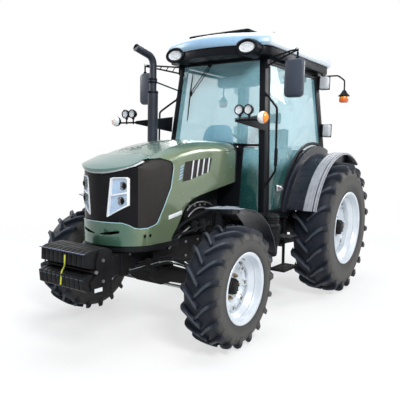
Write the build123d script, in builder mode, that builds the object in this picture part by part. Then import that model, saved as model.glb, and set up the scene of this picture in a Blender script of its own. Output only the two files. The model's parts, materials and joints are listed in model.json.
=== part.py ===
# Four-wheel-drive farm tractor with a glazed cab, front weights and a three-point linkage.
# Frame: +X is the tractor's left, -Y is ahead, +Z is up, the ground is z = 0, millimetres.
# Places along the tractor are given as distances ahead of the rear axle, through ahead().
import os
from math import atan, cos, pi, radians, sin, sqrt

from build123d import *

os.makedirs("parts", exist_ok=True)

# ---------------------------------------------------------------- driving dimensions
WHEELBASE = 2295
FRONT_TRACK = 1712
REAR_TRACK = 1728
FRONT_REACH = 3375          # rear axle to the front face of the weights
REAR_REACH = 985            # rear axle to the ends of the lower links
GAP = 6                     # free space round what moves
PIN_GAP = 0.3               # free space round a pin in its bore

FRONT_TYRE_R = 515
FRONT_TYRE_W = 345
FRONT_RIM_R = 305
FRONT_LUGS = 18
REAR_TYRE_R = 765
REAR_TYRE_W = 430
REAR_RIM_R = 425
REAR_LUGS = 20
RIM_WALL = 9

KINGPIN_X = 620
KINGPIN_R = 20
KINGPIN_TOP = 650
KINGPIN_BOTTOM = 370
STEER_ARM = 190             # kingpin to tie rod pin, straight back
TIE_PIN_R = 11
TIE_ROD_R = 15
TIE_ROD_Z = KINGPIN_BOTTOM - TIE_ROD_R - GAP - 2

HOOD_HALF = 355
HOOD_REAR = 1405
HOOD_NOSE = 2990
HOOD_TOP = 1740
HOOD_WALL = 12
CHIN_BOTTOM = 895

CAB_FLOOR_Z = 1000
CAB_SILL_X = 655            # half width of the cab's side at the floor
CAB_LEAN_IN = 0.080         # side walls lean in by this much per unit of height
CAB_LEAN_BACK = 0.096       # front pillars lean back by this much per unit of height
CAB_FRONT = 1357            # front pillars at the floor
CAB_REAR = -290             # rear pillars at the sill of the rear window
CAB_TOP_Z = 2580
PILLAR = 62
PANE = 8                    # glass thickness
SCREEN_SILL_Z = 1712

LINER_DEPTH = 85
ROOF_HALF = 645
ROOF_Z = CAB_TOP_Z + LINER_DEPTH
ROOF_DEPTH = 150
ROOF_TOP_Z = ROOF_Z + ROOF_DEPTH
ROOF_FRONT = 1505
ROOF_BACK = -330

FENDER_WALL = 12
FENDER_IN = 602
FENDER_OUT = 985

LINKAGE_D = -70             # both pivots of the linkage, one above the other
LIFT_Z = 1040
LIFT_ARM = 360
LINK_Z = 500
LINK_X = 230                # lower links at their front pins
LINK_END_X = 400            # and at their ball eyes
LINK_PIN_R = 14
SHAFT_R = 38
BALL_R = 14.2               # bore of the lower links' balls
TOP_LINK_R = 12.7
DRAWBAR_PIN_R = 16
PTO_R = 17.5

REAR_AXLE_Y = (FRONT_REACH - REAR_REACH) / 2


def ahead(distance):
    """The y of a place this far ahead of the rear axle."""
    return REAR_AXLE_Y - distance


def save(part, name):
    part.label = name
    export_step(part, f"parts/{name}.step")


def both_sides(part, name):
    """Writes the left part and its mirror image on the right."""
    save(part, f"{name}_left")
    save(mirror(part, about=Plane.YZ), f"{name}_right")


def side_plane(x):
    """A plane across the tractor at x: its own x runs ahead from the rear axle, its y is up."""
    return Plane(origin=(x, REAR_AXLE_Y, 0), x_dir=(0, -1, 0), z_dir=(-1, 0, 0))


def slab(points, x_from, x_to):
    """A side outline of (ahead, up) points, as thick as from x_from to x_to."""
    with BuildPart() as piece:
        with BuildSketch(side_plane(x_to)):
            Polygon(*points, align=None)
        extrude(amount=x_to - x_from)
    return piece.part


def block(x0, x1, d0, d1, z0, z1):
    """A plain block between two corners: across, ahead and up."""
    with BuildPart() as piece:
        with BuildSketch(Plane.XY.offset(z0)):
            with Locations(((x0 + x1) / 2, ahead((d0 + d1) / 2))):
                Rectangle(abs(x1 - x0), abs(d1 - d0))
        extrude(amount=z1 - z0)
    return piece.part


def tube(points, bend, radius):
    """A round bar along points (x, y, z), its corners bent at one radius."""
    with BuildPart() as piece:
        with BuildLine():
            if len(points) > 2:
                run = FilletPolyline(*points, radius=bend)
            else:
                run = Line(*points)
        with BuildSketch(Plane(run @ 0, z_dir=run % 0)):
            Circle(radius)
        sweep()
    return piece.part


def rod(centre, axis, radius, length):
    """A cylinder that starts at centre and runs along axis."""
    with BuildPart() as piece:
        with BuildSketch(Plane(origin=centre, z_dir=axis)):
            Circle(radius)
        extrude(amount=length)
    return piece.part


def wheel_plane(x, y, z):
    """Sections of a wheel: its own x is the radius, its y runs outboard along the axle."""
    return Plane(origin=(x, y, z), x_dir=(0, 0, 1), z_dir=(0, 1, 0))


# ---------------------------------------------------------------- wheels
def faceted_ring(x, y, z, sides, section):
    """A ring about the axle with flat facets, from its section's (radius, outboard) points."""
    turns = [2 * pi * number / sides for number in range(sides)]
    rings = [[(x + out, y + r * sin(turn), z + r * cos(turn)) for turn in turns] for r, out in section]
    faces = []
    for ring, following in zip(rings, rings[1:] + rings[:1]):
        for number in range(sides):
            ahead_one = (number + 1) % sides
            corners = (ring[number], ring[ahead_one], following[ahead_one], following[number])
            faces.append(Face(Wire.make_polygon(corners)))
    return Solid(Shell(faces))


def make_tyre(x, y, outer_r, width, seat_r, lug_height, lug_count, lug_width):
    """A drive tyre round the axle at x, y: carcass, and bars in two handed rows."""
    half = width / 2
    tread_r = outer_r - lug_height
    wall = tread_r - seat_r
    lead = 0.74 * half          # how far a bar's shoulder end trails its nose
    bar_top = sqrt(outer_r ** 2 - (lead / 2 + lug_width / 2) ** 2)
    with BuildPart() as bar:
        with BuildSketch(Plane(origin=(x, y, outer_r + tread_r - 0.3 * wall), x_dir=(1, 0, 0),
                               z_dir=(0, 0, 1))):
            Polygon((-0.06 * half, -lead / 2 - 0.5 * lug_width), (half, lead / 2 - 0.62 * lug_width),
                    (half, lead / 2 + 0.62 * lug_width), (-0.06 * half, -lead / 2 + 0.5 * lug_width),
                    align=None)
        extrude(amount=lug_height + 0.4 * wall)
        with BuildSketch(wheel_plane(x, y, outer_r)):
            Polygon((tread_r - 0.3 * wall, -half), (bar_top, -half), (bar_top, 0.9 * half),
                    (tread_r - 0.28 * wall, half), align=None)
        extrude(amount=half, both=True, mode=Mode.INTERSECT)
    with BuildPart() as tyre:
        add(faceted_ring(x, y, outer_r, 3 * lug_count // 2, [
            (seat_r, -0.40 * width), (seat_r + 0.45 * wall, -0.47 * width), (tread_r, -0.38 * width),
            (tread_r, 0.38 * width), (seat_r + 0.45 * wall, 0.47 * width), (seat_r, 0.40 * width)]))
        pitch = 360 / lug_count
        axle = Axis((x, y, outer_r), (1, 0, 0))
        handed = mirror(bar.part, about=Plane(origin=(x, 0, 0), z_dir=(1, 0, 0)), mode=Mode.PRIVATE)
        turns = [number * pitch for number in range(lug_count)]
        add([bar.part.rotate(axle, turn) for turn in turns]
            + [handed.rotate(axle, turn + pitch / 2) for turn in turns])
    return tyre.part


def make_rim(x, y, z, flange_r, half, disc_at, disc_r, hub_r, hub_in, hub_out, brackets):
    """A rim barrel with flanges, a dished disc on brackets, and the hub."""
    plane = wheel_plane(x, y, z)
    axle = Axis((x, y, z), (1, 0, 0))
    seat_r = flange_r - 24
    lip = RIM_WALL + 5
    with BuildPart() as rim:
        with BuildSketch(plane):
            Polygon(
                (flange_r, -half), (flange_r, -half + RIM_WALL), (seat_r, -half + lip),
                (seat_r - 4, -half + 45), (disc_r + 6, -half + 80), (disc_r + 6, half - 105),
                (seat_r - 4, half - 45), (seat_r, half - lip), (flange_r, half - RIM_WALL),
                (flange_r, half), (seat_r - RIM_WALL, half - 4), (seat_r - RIM_WALL - 4, half - 48),
                (disc_r - 6, half - 105), (disc_r - 6, -half + 80),
                (seat_r - RIM_WALL - 4, -half + 42), (seat_r - RIM_WALL, -half + 4), align=None)
        revolve(axis=axle)
        with BuildSketch(plane):
            Polygon(
                (disc_r - 20, disc_at + 20), (disc_r - 20, disc_at + 32), (disc_r - 55, disc_at + 32),
                (hub_r + 55, disc_at - 2), (hub_r - 25, disc_at - 2), (hub_r - 25, disc_at - 14),
                (hub_r + 55, disc_at - 14), (disc_r - 55, disc_at + 20), align=None)
        revolve(axis=axle)
        with BuildSketch(plane):
            Polygon((0, hub_in), (hub_r, hub_in), (hub_r, hub_out - 30), (hub_r - 25, hub_out - 8),
                    (hub_r - 50, hub_out), (0, hub_out), align=None)
        revolve(axis=axle)
        bracket = block(x + disc_at + 10, x + disc_at + 44, ahead_of(y) - 34, ahead_of(y) + 34,
                        z + disc_r - 62, z + disc_r)
        add([bracket.rotate(axle, number * 360 / brackets) for number in range(brackets)])
    return rim.part


def ahead_of(y):
    return REAR_AXLE_Y - y


FRONT_Y = ahead(WHEELBASE)
FRONT_X = FRONT_TRACK / 2
REAR_X = REAR_TRACK / 2

both_sides(make_tyre(FRONT_X, FRONT_Y, FRONT_TYRE_R, FRONT_TYRE_W, FRONT_RIM_R - 20, 36,
                     FRONT_LUGS, 40), "front_tyre")
both_sides(make_tyre(REAR_X, REAR_AXLE_Y, REAR_TYRE_R, REAR_TYRE_W, REAR_RIM_R - 20, 42,
                     REAR_LUGS, 52), "rear_tyre")

# The front hubs are short, on a planetary drive; the rear discs sit deep in their rims.
both_sides(make_rim(FRONT_X, FRONT_Y, FRONT_TYRE_R, FRONT_RIM_R, 157, 0, 222, 98, -70, 60, 8),
           "front_rim")
both_sides(make_rim(REAR_X, REAR_AXLE_Y, REAR_TYRE_R, REAR_RIM_R, 196, 10, 330, 120, -40, 125, 8),
           "rear_rim")

# ---------------------------------------------------------------- front axle and steering
AXLE_Z = FRONT_TYRE_R
KNUCKLE_IN = 72             # kingpin to the inner face of the final drive
FENDER_FRONT_R = 655        # front mudguard's radius about the wheel
FENDER_POST_X = FRONT_X - FRONT_TYRE_W / 2 - 36

with BuildPart() as front_axle:
    with BuildSketch(Plane(origin=(0, FRONT_Y, 0), x_dir=(1, 0, 0), z_dir=(0, -1, 0))) as beam_face:
        Polygon(
            (-KINGPIN_X, AXLE_Z - 42), (-260, AXLE_Z - 60), (-150, AXLE_Z - 105), (150, AXLE_Z - 105),
            (260, AXLE_Z - 60), (KINGPIN_X, AXLE_Z - 42), (KINGPIN_X, AXLE_Z + 42),
            (200, AXLE_Z + 70), (-200, AXLE_Z + 70), (-KINGPIN_X, AXLE_Z + 42), align=None)
    extrude(amount=48, both=True)
    with BuildSketch(Plane(origin=(60, FRONT_Y, AXLE_Z), z_dir=(0, 1, 0))):
        Circle(118)
    extrude(amount=150, taper=12)
    for side in (-1, 1):
        add(rod((side * KINGPIN_X, FRONT_Y, KINGPIN_BOTTOM + 30), (0, 0, 1), 58,
                KINGPIN_TOP - KINGPIN_BOTTOM - 60))
    for side in (-1, 1):
        add(rod((side * KINGPIN_X, FRONT_Y, KINGPIN_BOTTOM), (0, 0, 1), KINGPIN_R + PIN_GAP,
                KINGPIN_TOP - KINGPIN_BOTTOM), mode=Mode.SUBTRACT)
save(front_axle.part, "front_axle")

with BuildPart() as knuckle:
    arm_points = ((KINGPIN_X - 62, FRONT_Y - 55), (KINGPIN_X + 140, FRONT_Y - 80),
                  (KINGPIN_X + 140, FRONT_Y + 80), (KINGPIN_X - 62, FRONT_Y + 55))
    for level in (KINGPIN_TOP - 24, KINGPIN_BOTTOM):
        with BuildSketch(Plane.XY.offset(level)):
            Polygon(*arm_points, align=None)
        extrude(amount=24)
    add(rod((KINGPIN_X, FRONT_Y, KINGPIN_BOTTOM), (0, 0, 1), KINGPIN_R, KINGPIN_TOP - KINGPIN_BOTTOM))
    add(rod((KINGPIN_X + KNUCKLE_IN, FRONT_Y, AXLE_Z), (1, 0, 0), 146, 74))
    with BuildSketch(Plane.XY.offset(KINGPIN_BOTTOM)):
        Polygon((KINGPIN_X - 34, FRONT_Y), (KINGPIN_X - 26, FRONT_Y + STEER_ARM + 26),
                (KINGPIN_X + 26, FRONT_Y + STEER_ARM + 26), (KINGPIN_X + 50, FRONT_Y), align=None)
    extrude(amount=24)
    add(rod((KINGPIN_X, FRONT_Y + STEER_ARM, TIE_ROD_Z - 22), (0, 0, 1), TIE_PIN_R, 80))
    add(tube([(FENDER_POST_X, FRONT_Y + 30, KINGPIN_TOP - 12),
              (FENDER_POST_X, FRONT_Y + 50, AXLE_Z + FENDER_FRONT_R - 40),
              (FRONT_X - 60, FRONT_Y + 60, AXLE_Z + FENDER_FRONT_R - 36)], 40, 15))
both_sides(knuckle.part, "knuckle")

with BuildPart() as tie_rod:
    add(rod((-KINGPIN_X + 30, FRONT_Y + STEER_ARM, TIE_ROD_Z), (1, 0, 0), TIE_ROD_R,
            2 * KINGPIN_X - 60))
    for side in (-1, 1):
        with Locations((side * KINGPIN_X, FRONT_Y + STEER_ARM, TIE_ROD_Z)):
            Cylinder(32, 30)
            Cylinder(TIE_PIN_R + PIN_GAP, 40, mode=Mode.SUBTRACT)
save(tie_rod.part, "tie_rod")

with BuildPart() as front_fender:
    with BuildSketch(side_plane(FRONT_X + 110)):
        with BuildLine():
            Polyline(
                *[(WHEELBASE - FENDER_FRONT_R * cos(radians(turn)),
                   AXLE_Z + FENDER_FRONT_R * sin(radians(turn)))
                  for turn in (18, 32, 46, 60, 74, 88)],
                (WHEELBASE + 180, AXLE_Z + FENDER_FRONT_R - 4))
        trace(line_width=8)
    extrude(amount=265)
    with Locations((FRONT_X - 60, FRONT_Y + 60, AXLE_Z + FENDER_FRONT_R - 26)):
        Box(120, 120, 52)
    tip_y = ahead(WHEELBASE + 180)
    with BuildSketch(Plane.XY.offset(AXLE_Z + FENDER_FRONT_R - 40)):
        Polygon((FRONT_X - 150, tip_y), (FRONT_X + 120, tip_y + 150), (FRONT_X + 120, tip_y - 20),
                (FRONT_X - 150, tip_y - 20), align=None)
    extrude(amount=80, mode=Mode.SUBTRACT)
    add(knuckle.part, mode=Mode.SUBTRACT)
both_sides(front_fender.part, "front_fender")

# ---------------------------------------------------------------- chassis
ENGINE = (1480, WHEELBASE - 65)       # rear and front of the engine, ahead of the rear axle
with BuildPart() as engine:
    add(block(-185, 185, ENGINE[0], ENGINE[1], 640, 1330))
    add(block(-230, 230, ENGINE[0] + 90, ENGINE[1] - 120, 900, 1150))
    add(block(-150, 150, ENGINE[0], ENGINE[1] - 180, 560, 640))
save(engine.part, "engine_block")

with BuildPart() as driveline:
    add(slab([(1480, 640), (1480, 1060), (1385, 1020), (1360, 925), (700, 925), (250, 925),
              (-190, 925), (-190, 560), (300, 520), (900, 560), (1150, 600)], -165, 165))
    for side in (-1, 1):
        add(rod((side * 160, REAR_AXLE_Y, REAR_TYRE_R), (side, 0, 0), 132, 390))
        add(rod((side * 540, REAR_AXLE_Y, REAR_TYRE_R), (side, 0, 0), 175, REAR_X - 48 - 540))
    add(rod((0, REAR_AXLE_Y + 190, 600), (0, 1, 0), 46, 30))
    add(rod((0, REAR_AXLE_Y + 200, 600), (0, 1, 0), PTO_R, 110))
    for side in (-1, 1):
        add(block(side * 70 - 14, side * 70 + 14, -190, -290, 820, 940))
    add(block(-110, 110, -190, -215, 790, 950))
    add(rod((-90, REAR_AXLE_Y + 262, 885), (1, 0, 0), TOP_LINK_R, 180), mode=Mode.SUBTRACT)
    for side in (-1, 1):
        bearing = slab([(LINKAGE_D + 70, 925), (LINKAGE_D + 40, LIFT_Z + 62),
                        (LINKAGE_D - 40, LIFT_Z + 62), (LINKAGE_D - 70, 925)], 120, 165)
        foot = slab([(LINKAGE_D + 60, 600), (LINKAGE_D + 28, LINK_Z - 30),
                     (LINKAGE_D - 28, LINK_Z - 30), (LINKAGE_D - 60, 600)], 120, 165)
        if side < 0:
            bearing = mirror(bearing, about=Plane.YZ, mode=Mode.PRIVATE)
            foot = mirror(foot, about=Plane.YZ, mode=Mode.PRIVATE)
        add([bearing, foot])
    add(rod((-165, ahead(LINKAGE_D), LIFT_Z), (1, 0, 0), SHAFT_R + PIN_GAP, 330), mode=Mode.SUBTRACT)
    add(rod((-LINK_X - 26, ahead(LINKAGE_D), LINK_Z), (1, 0, 0), LINK_PIN_R, 2 * LINK_X + 52))
save(driveline.part, "driveline_housing")

with BuildPart() as front_frame:
    for side in (-1, 1):
        add(block(side * 215 - 22, side * 215 + 22, 1640, 2960, 620, 830))
    add(block(-193, 193, 2620, 2960, 640, 690))
    add(block(-193, 193, 2880, 2960, 690, 840))
    add(slab([(2480, 838), (2480, 868), (2940, 880), (3000, 884), (3000, 838)], -300, 300))
    add(rod((0, ahead(2480), AXLE_Z + 155), (0, -1, 0), 60, 140))
save(front_frame.part, "front_frame")

# ---------------------------------------------------------------- weights on the nose
WEIGHT_COUNT = 10
WEIGHT_PITCH = 52
WEIGHT_T = 46
WEIGHT_PROFILE = [           # ahead, up: hook, upper block, hand recess, lower block
    (3105, 800), (3105, 868), (3135, 884), (3300, 878), (3345, 862), (3350, 762), (3300, 745),
    (3262, 738), (3262, 705), (3330, 700), (FRONT_REACH, 684), (FRONT_REACH - 8, 592),
    (3330, 572), (3150, 572), (3150, 720), (3190, 735), (3190, 800)]

with BuildPart() as weights:
    for number in range(WEIGHT_COUNT):
        middle = (number - (WEIGHT_COUNT - 1) / 2) * WEIGHT_PITCH
        add(slab(WEIGHT_PROFILE, middle - WEIGHT_T / 2, middle + WEIGHT_T / 2))
    width = (WEIGHT_COUNT - 1) * WEIGHT_PITCH / 2
    add(block(-width, width, 3205, 3235, 625, 655))
    add(block(-width, width, 3225, 3250, 828, 853))
save(weights.part, "front_weights")

RACK_HALF = width + WEIGHT_T / 2 + GAP
with BuildPart() as rack:
    add(slab([(3120, 728), (3120, 792), (3182, 792), (3182, 743)], -RACK_HALF - 4, RACK_HALF + 4))
    add(block(-230, 230, 2960, 3120, 640, 800))
    for side in (-1, 1):
        outer = [(3100, 560), (3100, 860), (3140, 880), (3230, 870), (3262, 800), (3262, 700),
                 (3320, 640), (3300, 560), (3200, 525), (3130, 530)]
        near, far = sorted((side * RACK_HALF, side * (RACK_HALF + 16)))
        add(slab(outer, near, far))
        near, far = sorted((side * 214, side * (RACK_HALF + 4)))
        add(block(near, far, 3060, 3120, 640, 800))
save(rack.part, "weight_rack")

# ---------------------------------------------------------------- hood
HOOD_CROWN = [               # ahead, up, of the top line at the middle
    (HOOD_REAR, HOOD_TOP), (2000, HOOD_TOP - 6), (2300, HOOD_TOP - 48), (2600, HOOD_TOP - 124),
    (2800, HOOD_TOP - 190), (2930, HOOD_TOP - 240), (HOOD_NOSE, HOOD_TOP - 285)]
HOOD_UNDER = [               # ahead, up, of the lower edge of the sides, from the chin back
    (HOOD_NOSE - 8, CHIN_BOTTOM), (2450, CHIN_BOTTOM - 8), (2375, 985), (2300, 1090),
    (2235, 1165), (2160, 1200), (2045, 1229), (HOOD_REAR, 1334)]
HOOD_PLAN = [                # half width, ahead
    (0, HOOD_NOSE), (120, HOOD_NOSE - 22), (215, HOOD_NOSE - 66), (300, HOOD_NOSE - 125),
    (340, HOOD_NOSE - 180)]


def hood_form(inset):
    """The hood's solid form with its outside drawn in by inset and its underside open."""
    drop = inset * 8 if inset else 0
    with BuildPart() as form:
        with BuildSketch(side_plane(HOOD_HALF + 40)):
            Polygon(*[(d - (inset if d > HOOD_REAR else -inset), z - inset) for d, z in HOOD_CROWN],
                    *[(d - (inset if d > HOOD_REAR else -inset), z - drop) for d, z in HOOD_UNDER],
                    align=None)
        extrude(amount=2 * HOOD_HALF + 80)
        with BuildSketch(Plane.XY.offset(CHIN_BOTTOM - 300)):
            half = HOOD_HALF - inset
            right = [(-x * half / HOOD_HALF, ahead(d - inset)) for x, d in HOOD_PLAN]
            left = [(-x, y) for x, y in right]
            Polygon(*left, (half, ahead(2700)), (half, ahead(HOOD_REAR)), (-half, ahead(HOOD_REAR)),
                    (-half, ahead(2700)), *reversed(right[1:]), align=None)
        extrude(amount=1200, mode=Mode.INTERSECT)
        with BuildSketch(Plane(origin=(0, ahead(HOOD_REAR - 50), 0), x_dir=(1, 0, 0),
                               z_dir=(0, -1, 0))):
            with BuildLine():
                shoulder = HOOD_TOP - 118 - inset
                Polyline((-half, shoulder), (-half, 500), (half, 500), (half, shoulder))
                ThreePointArc((half, shoulder), (half - 32, HOOD_TOP - 48 - inset),
                              (half - 100, HOOD_TOP - 16 - inset))
                ThreePointArc((half - 100, HOOD_TOP - 16 - inset), (0, HOOD_TOP - inset),
                              (100 - half, HOOD_TOP - 16 - inset))
                ThreePointArc((100 - half, HOOD_TOP - 16 - inset), (32 - half, HOOD_TOP - 48 - inset),
                              (-half, shoulder))
            make_face()
        extrude(amount=1800, mode=Mode.INTERSECT)
    return form.part


MASK = [                     # ahead, up, of the dark grille on the side
    (HOOD_NOSE + 60, 1046), (HOOD_NOSE - 60, 1046), (2900, 1020), (2870, 1000), (2760, 1000),
    (2650, 1030), (2565, 1155), (2470, 1316), (2432, 1500), (2480, 1545), (2590, 1568),
    (2760, 1545), (2890, 1505), (HOOD_NOSE - 60, 1440), (HOOD_NOSE + 60, 1430)]
VENT = [(2315, 1362), (2280, 1534), (1865, 1572), (1905, 1440), (2200, 1375)]
VENT_BARS = 4
VENT_PITCH = 80
BAR_T = 14

shell_inner = hood_form(HOOD_WALL)
with BuildPart() as hood:
    add(hood_form(0))
    add(shell_inner, mode=Mode.SUBTRACT)
    add(slab(MASK, -HOOD_HALF - 20, HOOD_HALF + 20), mode=Mode.SUBTRACT)
    add(slab(VENT, -HOOD_HALF - 20, HOOD_HALF + 20), mode=Mode.SUBTRACT)
    for side in (-1, 1):
        near, far = sorted((side * 35, side * 190))
        add(block(near, far, HOOD_NOSE - 140, HOOD_NOSE + 40, CHIN_BOTTOM + 52, CHIN_BOTTOM + 72),
            mode=Mode.SUBTRACT)
save(hood.part, "hood")

LAMP = [                     # across, up
    (128, HOOD_TOP - 332), (262, HOOD_TOP - 324), (262, CHIN_BOTTOM + 285), (94, CHIN_BOTTOM + 193)]
LAMP_FRAME = 14
LAMP_DEPTH = 20             # floor of the cells below the hood's surface
LAMP_MIDDLE = 1278
BULB_R = 27
with BuildPart() as lamp_space:
    with BuildSketch(Plane(origin=(0, ahead(HOOD_NOSE + 20), 0), x_dir=(1, 0, 0), z_dir=(0, -1, 0))):
        Polygon(*LAMP, align=None)
        mirror(about=Plane.YZ)
    extrude(amount=-180)

# Each lamp is a frame round two cells, with a bulb in each.
with BuildPart() as lamp_cells:
    with BuildSketch(Plane(origin=(0, ahead(HOOD_NOSE + 20), 0), x_dir=(1, 0, 0), z_dir=(0, -1, 0))):
        Polygon(*LAMP, align=None)
        offset(amount=-LAMP_FRAME, kind=Kind.INTERSECTION, mode=Mode.REPLACE)
        with Locations((200, LAMP_MIDDLE)):
            Rectangle(300, LAMP_FRAME, rotation=14, mode=Mode.SUBTRACT)
        mirror(about=Plane.YZ)
    extrude(amount=-180)
    add(hood_form(LAMP_DEPTH), mode=Mode.SUBTRACT)
    for side in (-1, 1):
        for z in (LAMP_MIDDLE + 66, LAMP_MIDDLE - 62):
            add(rod((side * 205, ahead(HOOD_NOSE - 12), z), (0, 1, 0), BULB_R, 160), mode=Mode.SUBTRACT)

with BuildPart() as grilles:
    add(hood_form(6))
    add(hood_form(6 + 10), mode=Mode.SUBTRACT)
    add([slab(MASK, -HOOD_HALF - 20, HOOD_HALF + 20), slab(VENT, -HOOD_HALF - 20, HOOD_HALF + 20)],
        mode=Mode.INTERSECT)
    add(lamp_space.part, mode=Mode.SUBTRACT)
    with BuildPart(mode=Mode.PRIVATE) as bars:
        for number in range(VENT_BARS):
            d = 1945 + number * VENT_PITCH
            add(slab([(d, 1360), (d + BAR_T, 1360), (d + BAR_T - 40, 1580), (d - 40, 1580)],
                     -HOOD_HALF - 20, HOOD_HALF + 20))
        add(slab(VENT, -HOOD_HALF - 20, HOOD_HALF + 20), mode=Mode.INTERSECT)
        add(hood_form(0), mode=Mode.INTERSECT)
        add(hood_form(8), mode=Mode.SUBTRACT)
    add(bars.part)
save(grilles.part, "hood_grilles")

with BuildPart() as headlamps:
    add(hood_form(0))
    add(hood_form(30), mode=Mode.SUBTRACT)
    add(lamp_space.part, mode=Mode.INTERSECT)
    add(lamp_cells.part, mode=Mode.SUBTRACT)
save(headlamps.part, "headlamps")

# ---------------------------------------------------------------- cab
def lean_x(z):
    """Half width of the cab's outside at height z."""
    return CAB_SILL_X - CAB_LEAN_IN * (z - CAB_FLOOR_Z)


def front_d(z):
    """Distance ahead of the front pillars' front faces at height z."""
    return CAB_FRONT - CAB_LEAN_BACK * (z - CAB_FLOOR_Z)


REAR_LEAN = 0.143
REAR_SILL_Z = 1670


def rear_d(z):
    """Distance ahead (negative) of the rear pillars' rear faces at height z."""
    return CAB_REAR + REAR_LEAN * max(0, z - REAR_SILL_Z)


side_turn = atan(CAB_LEAN_IN)
front_turn = atan(CAB_LEAN_BACK)
rear_turn = atan(REAR_LEAN)
SIDE = Plane(origin=(CAB_SILL_X, REAR_AXLE_Y, CAB_FLOOR_Z), x_dir=(0, -1, 0),
             z_dir=(-cos(side_turn), 0, -sin(side_turn)))
FRONT = Plane(origin=(0, ahead(CAB_FRONT), CAB_FLOOR_Z), x_dir=(1, 0, 0),
              z_dir=(0, -cos(front_turn), sin(front_turn)))
REAR = Plane(origin=(0, ahead(CAB_REAR), REAR_SILL_Z), x_dir=(-1, 0, 0),
             z_dir=(0, cos(rear_turn), sin(rear_turn)))
A_DEPTH = 80                # front pillar, front to back
C_DEPTH = 75                # rear pillar, front to back
SHOULDER_R = 950            # top of the fender under the door
COVER_R = 865               # fender over the tyre
COVER_BACK = -450           # rear end of the fender
LIP = 40                    # width of the raised lip along its outer edge
LIP_RISE = 10
FENDER_FOOT = 235           # fender's lower end above the wheel's middle


def pillar(d_of, depth, z0, z1):
    """A leaning post on the left whose front face is at d_of(z)."""
    with BuildPart() as post:
        for z in (z0, z1):
            with BuildSketch(Plane.XY.offset(z)):
                with Locations((lean_x(z) - PILLAR / 2, ahead(d_of(z) - depth / 2))):
                    Rectangle(PILLAR, depth)
        loft()
    return post.part


def rear_post_d(z):
    """Distance ahead of the rear pillars' front faces at height z."""
    return rear_d(z) + C_DEPTH


with BuildPart() as cab_frame:
    a_post = pillar(front_d, A_DEPTH, CAB_FLOOR_Z - 60, CAB_TOP_Z)
    c_post = pillar(rear_post_d, C_DEPTH, REAR_SILL_Z, CAB_TOP_Z)
    add([a_post, c_post, mirror(a_post, about=Plane.YZ, mode=Mode.PRIVATE),
         mirror(c_post, about=Plane.YZ, mode=Mode.PRIVATE)])
    top_half = lean_x(CAB_TOP_Z)
    add(block(-top_half, top_half, front_d(CAB_TOP_Z) - A_DEPTH, front_d(CAB_TOP_Z),
              CAB_TOP_Z - 30, CAB_TOP_Z))
    add(block(-top_half, top_half, rear_d(CAB_TOP_Z), rear_d(CAB_TOP_Z) + C_DEPTH - 10,
              CAB_TOP_Z - 30, CAB_TOP_Z))
    for side in (-1, 1):
        near, far = sorted((side * (top_half - PILLAR), side * top_half))
        add(block(near, far, rear_d(CAB_TOP_Z), front_d(CAB_TOP_Z), CAB_TOP_Z - 18, CAB_TOP_Z))
    sill_half = lean_x(SCREEN_SILL_Z) - PILLAR
    add(block(-sill_half - 5, sill_half + 5, front_d(SCREEN_SILL_Z) - 40, front_d(SCREEN_SILL_Z),
              SCREEN_SILL_Z - 22, SCREEN_SILL_Z))
save(cab_frame.part, "cab_frame")

EXHAUST = (-430, ahead(1800))
PIPE_R = 36
PIPE_WALL = 4
STAY_Z = 2330
with BuildPart() as exhaust:
    x, y = EXHAUST
    add(tube([(-185, y, 1150), (x, y, 1150), (x, y, 2560), (x - 30, y - 230, 2625)], 90, PIPE_R))
    with BuildSketch(Plane.XY.offset(1690)):
        with Locations((x, y)):
            Circle(52)
    extrude(amount=540)
    add(rod((x, y, STAY_Z - 14), (0, 0, 1), PIPE_R + 6, 28))
    add(tube([(x, y, STAY_Z), (-lean_x(STAY_Z - 40) + 30, ahead(front_d(STAY_Z - 40)) + 20,
                               STAY_Z - 40)], 20, 8))
    add(rod((x - 30, y - 230, 2625), (0.12, 0.93, -0.26), PIPE_R - PIPE_WALL, 90), mode=Mode.SUBTRACT)
    add([engine.part, cab_frame.part], mode=Mode.SUBTRACT)
save(exhaust.part, "exhaust_stack")

with BuildPart() as cab_floor:
    add(block(-CAB_SILL_X + 2 * GAP, CAB_SILL_X - 2 * GAP, 560, 1275, CAB_FLOOR_Z - 60, CAB_FLOOR_Z))
    add(block(-CAB_SILL_X + PILLAR, CAB_SILL_X - PILLAR, 1275, CAB_FRONT - 10,
              CAB_FLOOR_Z - 60, CAB_FLOOR_Z))
    add(block(-FENDER_IN + 1, FENDER_IN - 1, 540, 580, CAB_FLOOR_Z - 60, 1240))
    add(block(-FENDER_IN + 1, FENDER_IN - 1, CAB_REAR, 580, 1200, 1240))
    add(block(-FENDER_IN + 1, FENDER_IN - 1, CAB_REAR, CAB_REAR + 30, 1240, REAR_SILL_Z))
    with BuildSketch(FRONT):
        with Locations((0, (SCREEN_SILL_Z - CAB_FLOOR_Z - 30) / 2)):
            Rectangle(720, SCREEN_SILL_Z - CAB_FLOOR_Z - 34)
    extrude(amount=-30)
save(cab_floor.part, "cab_floor")

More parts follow.
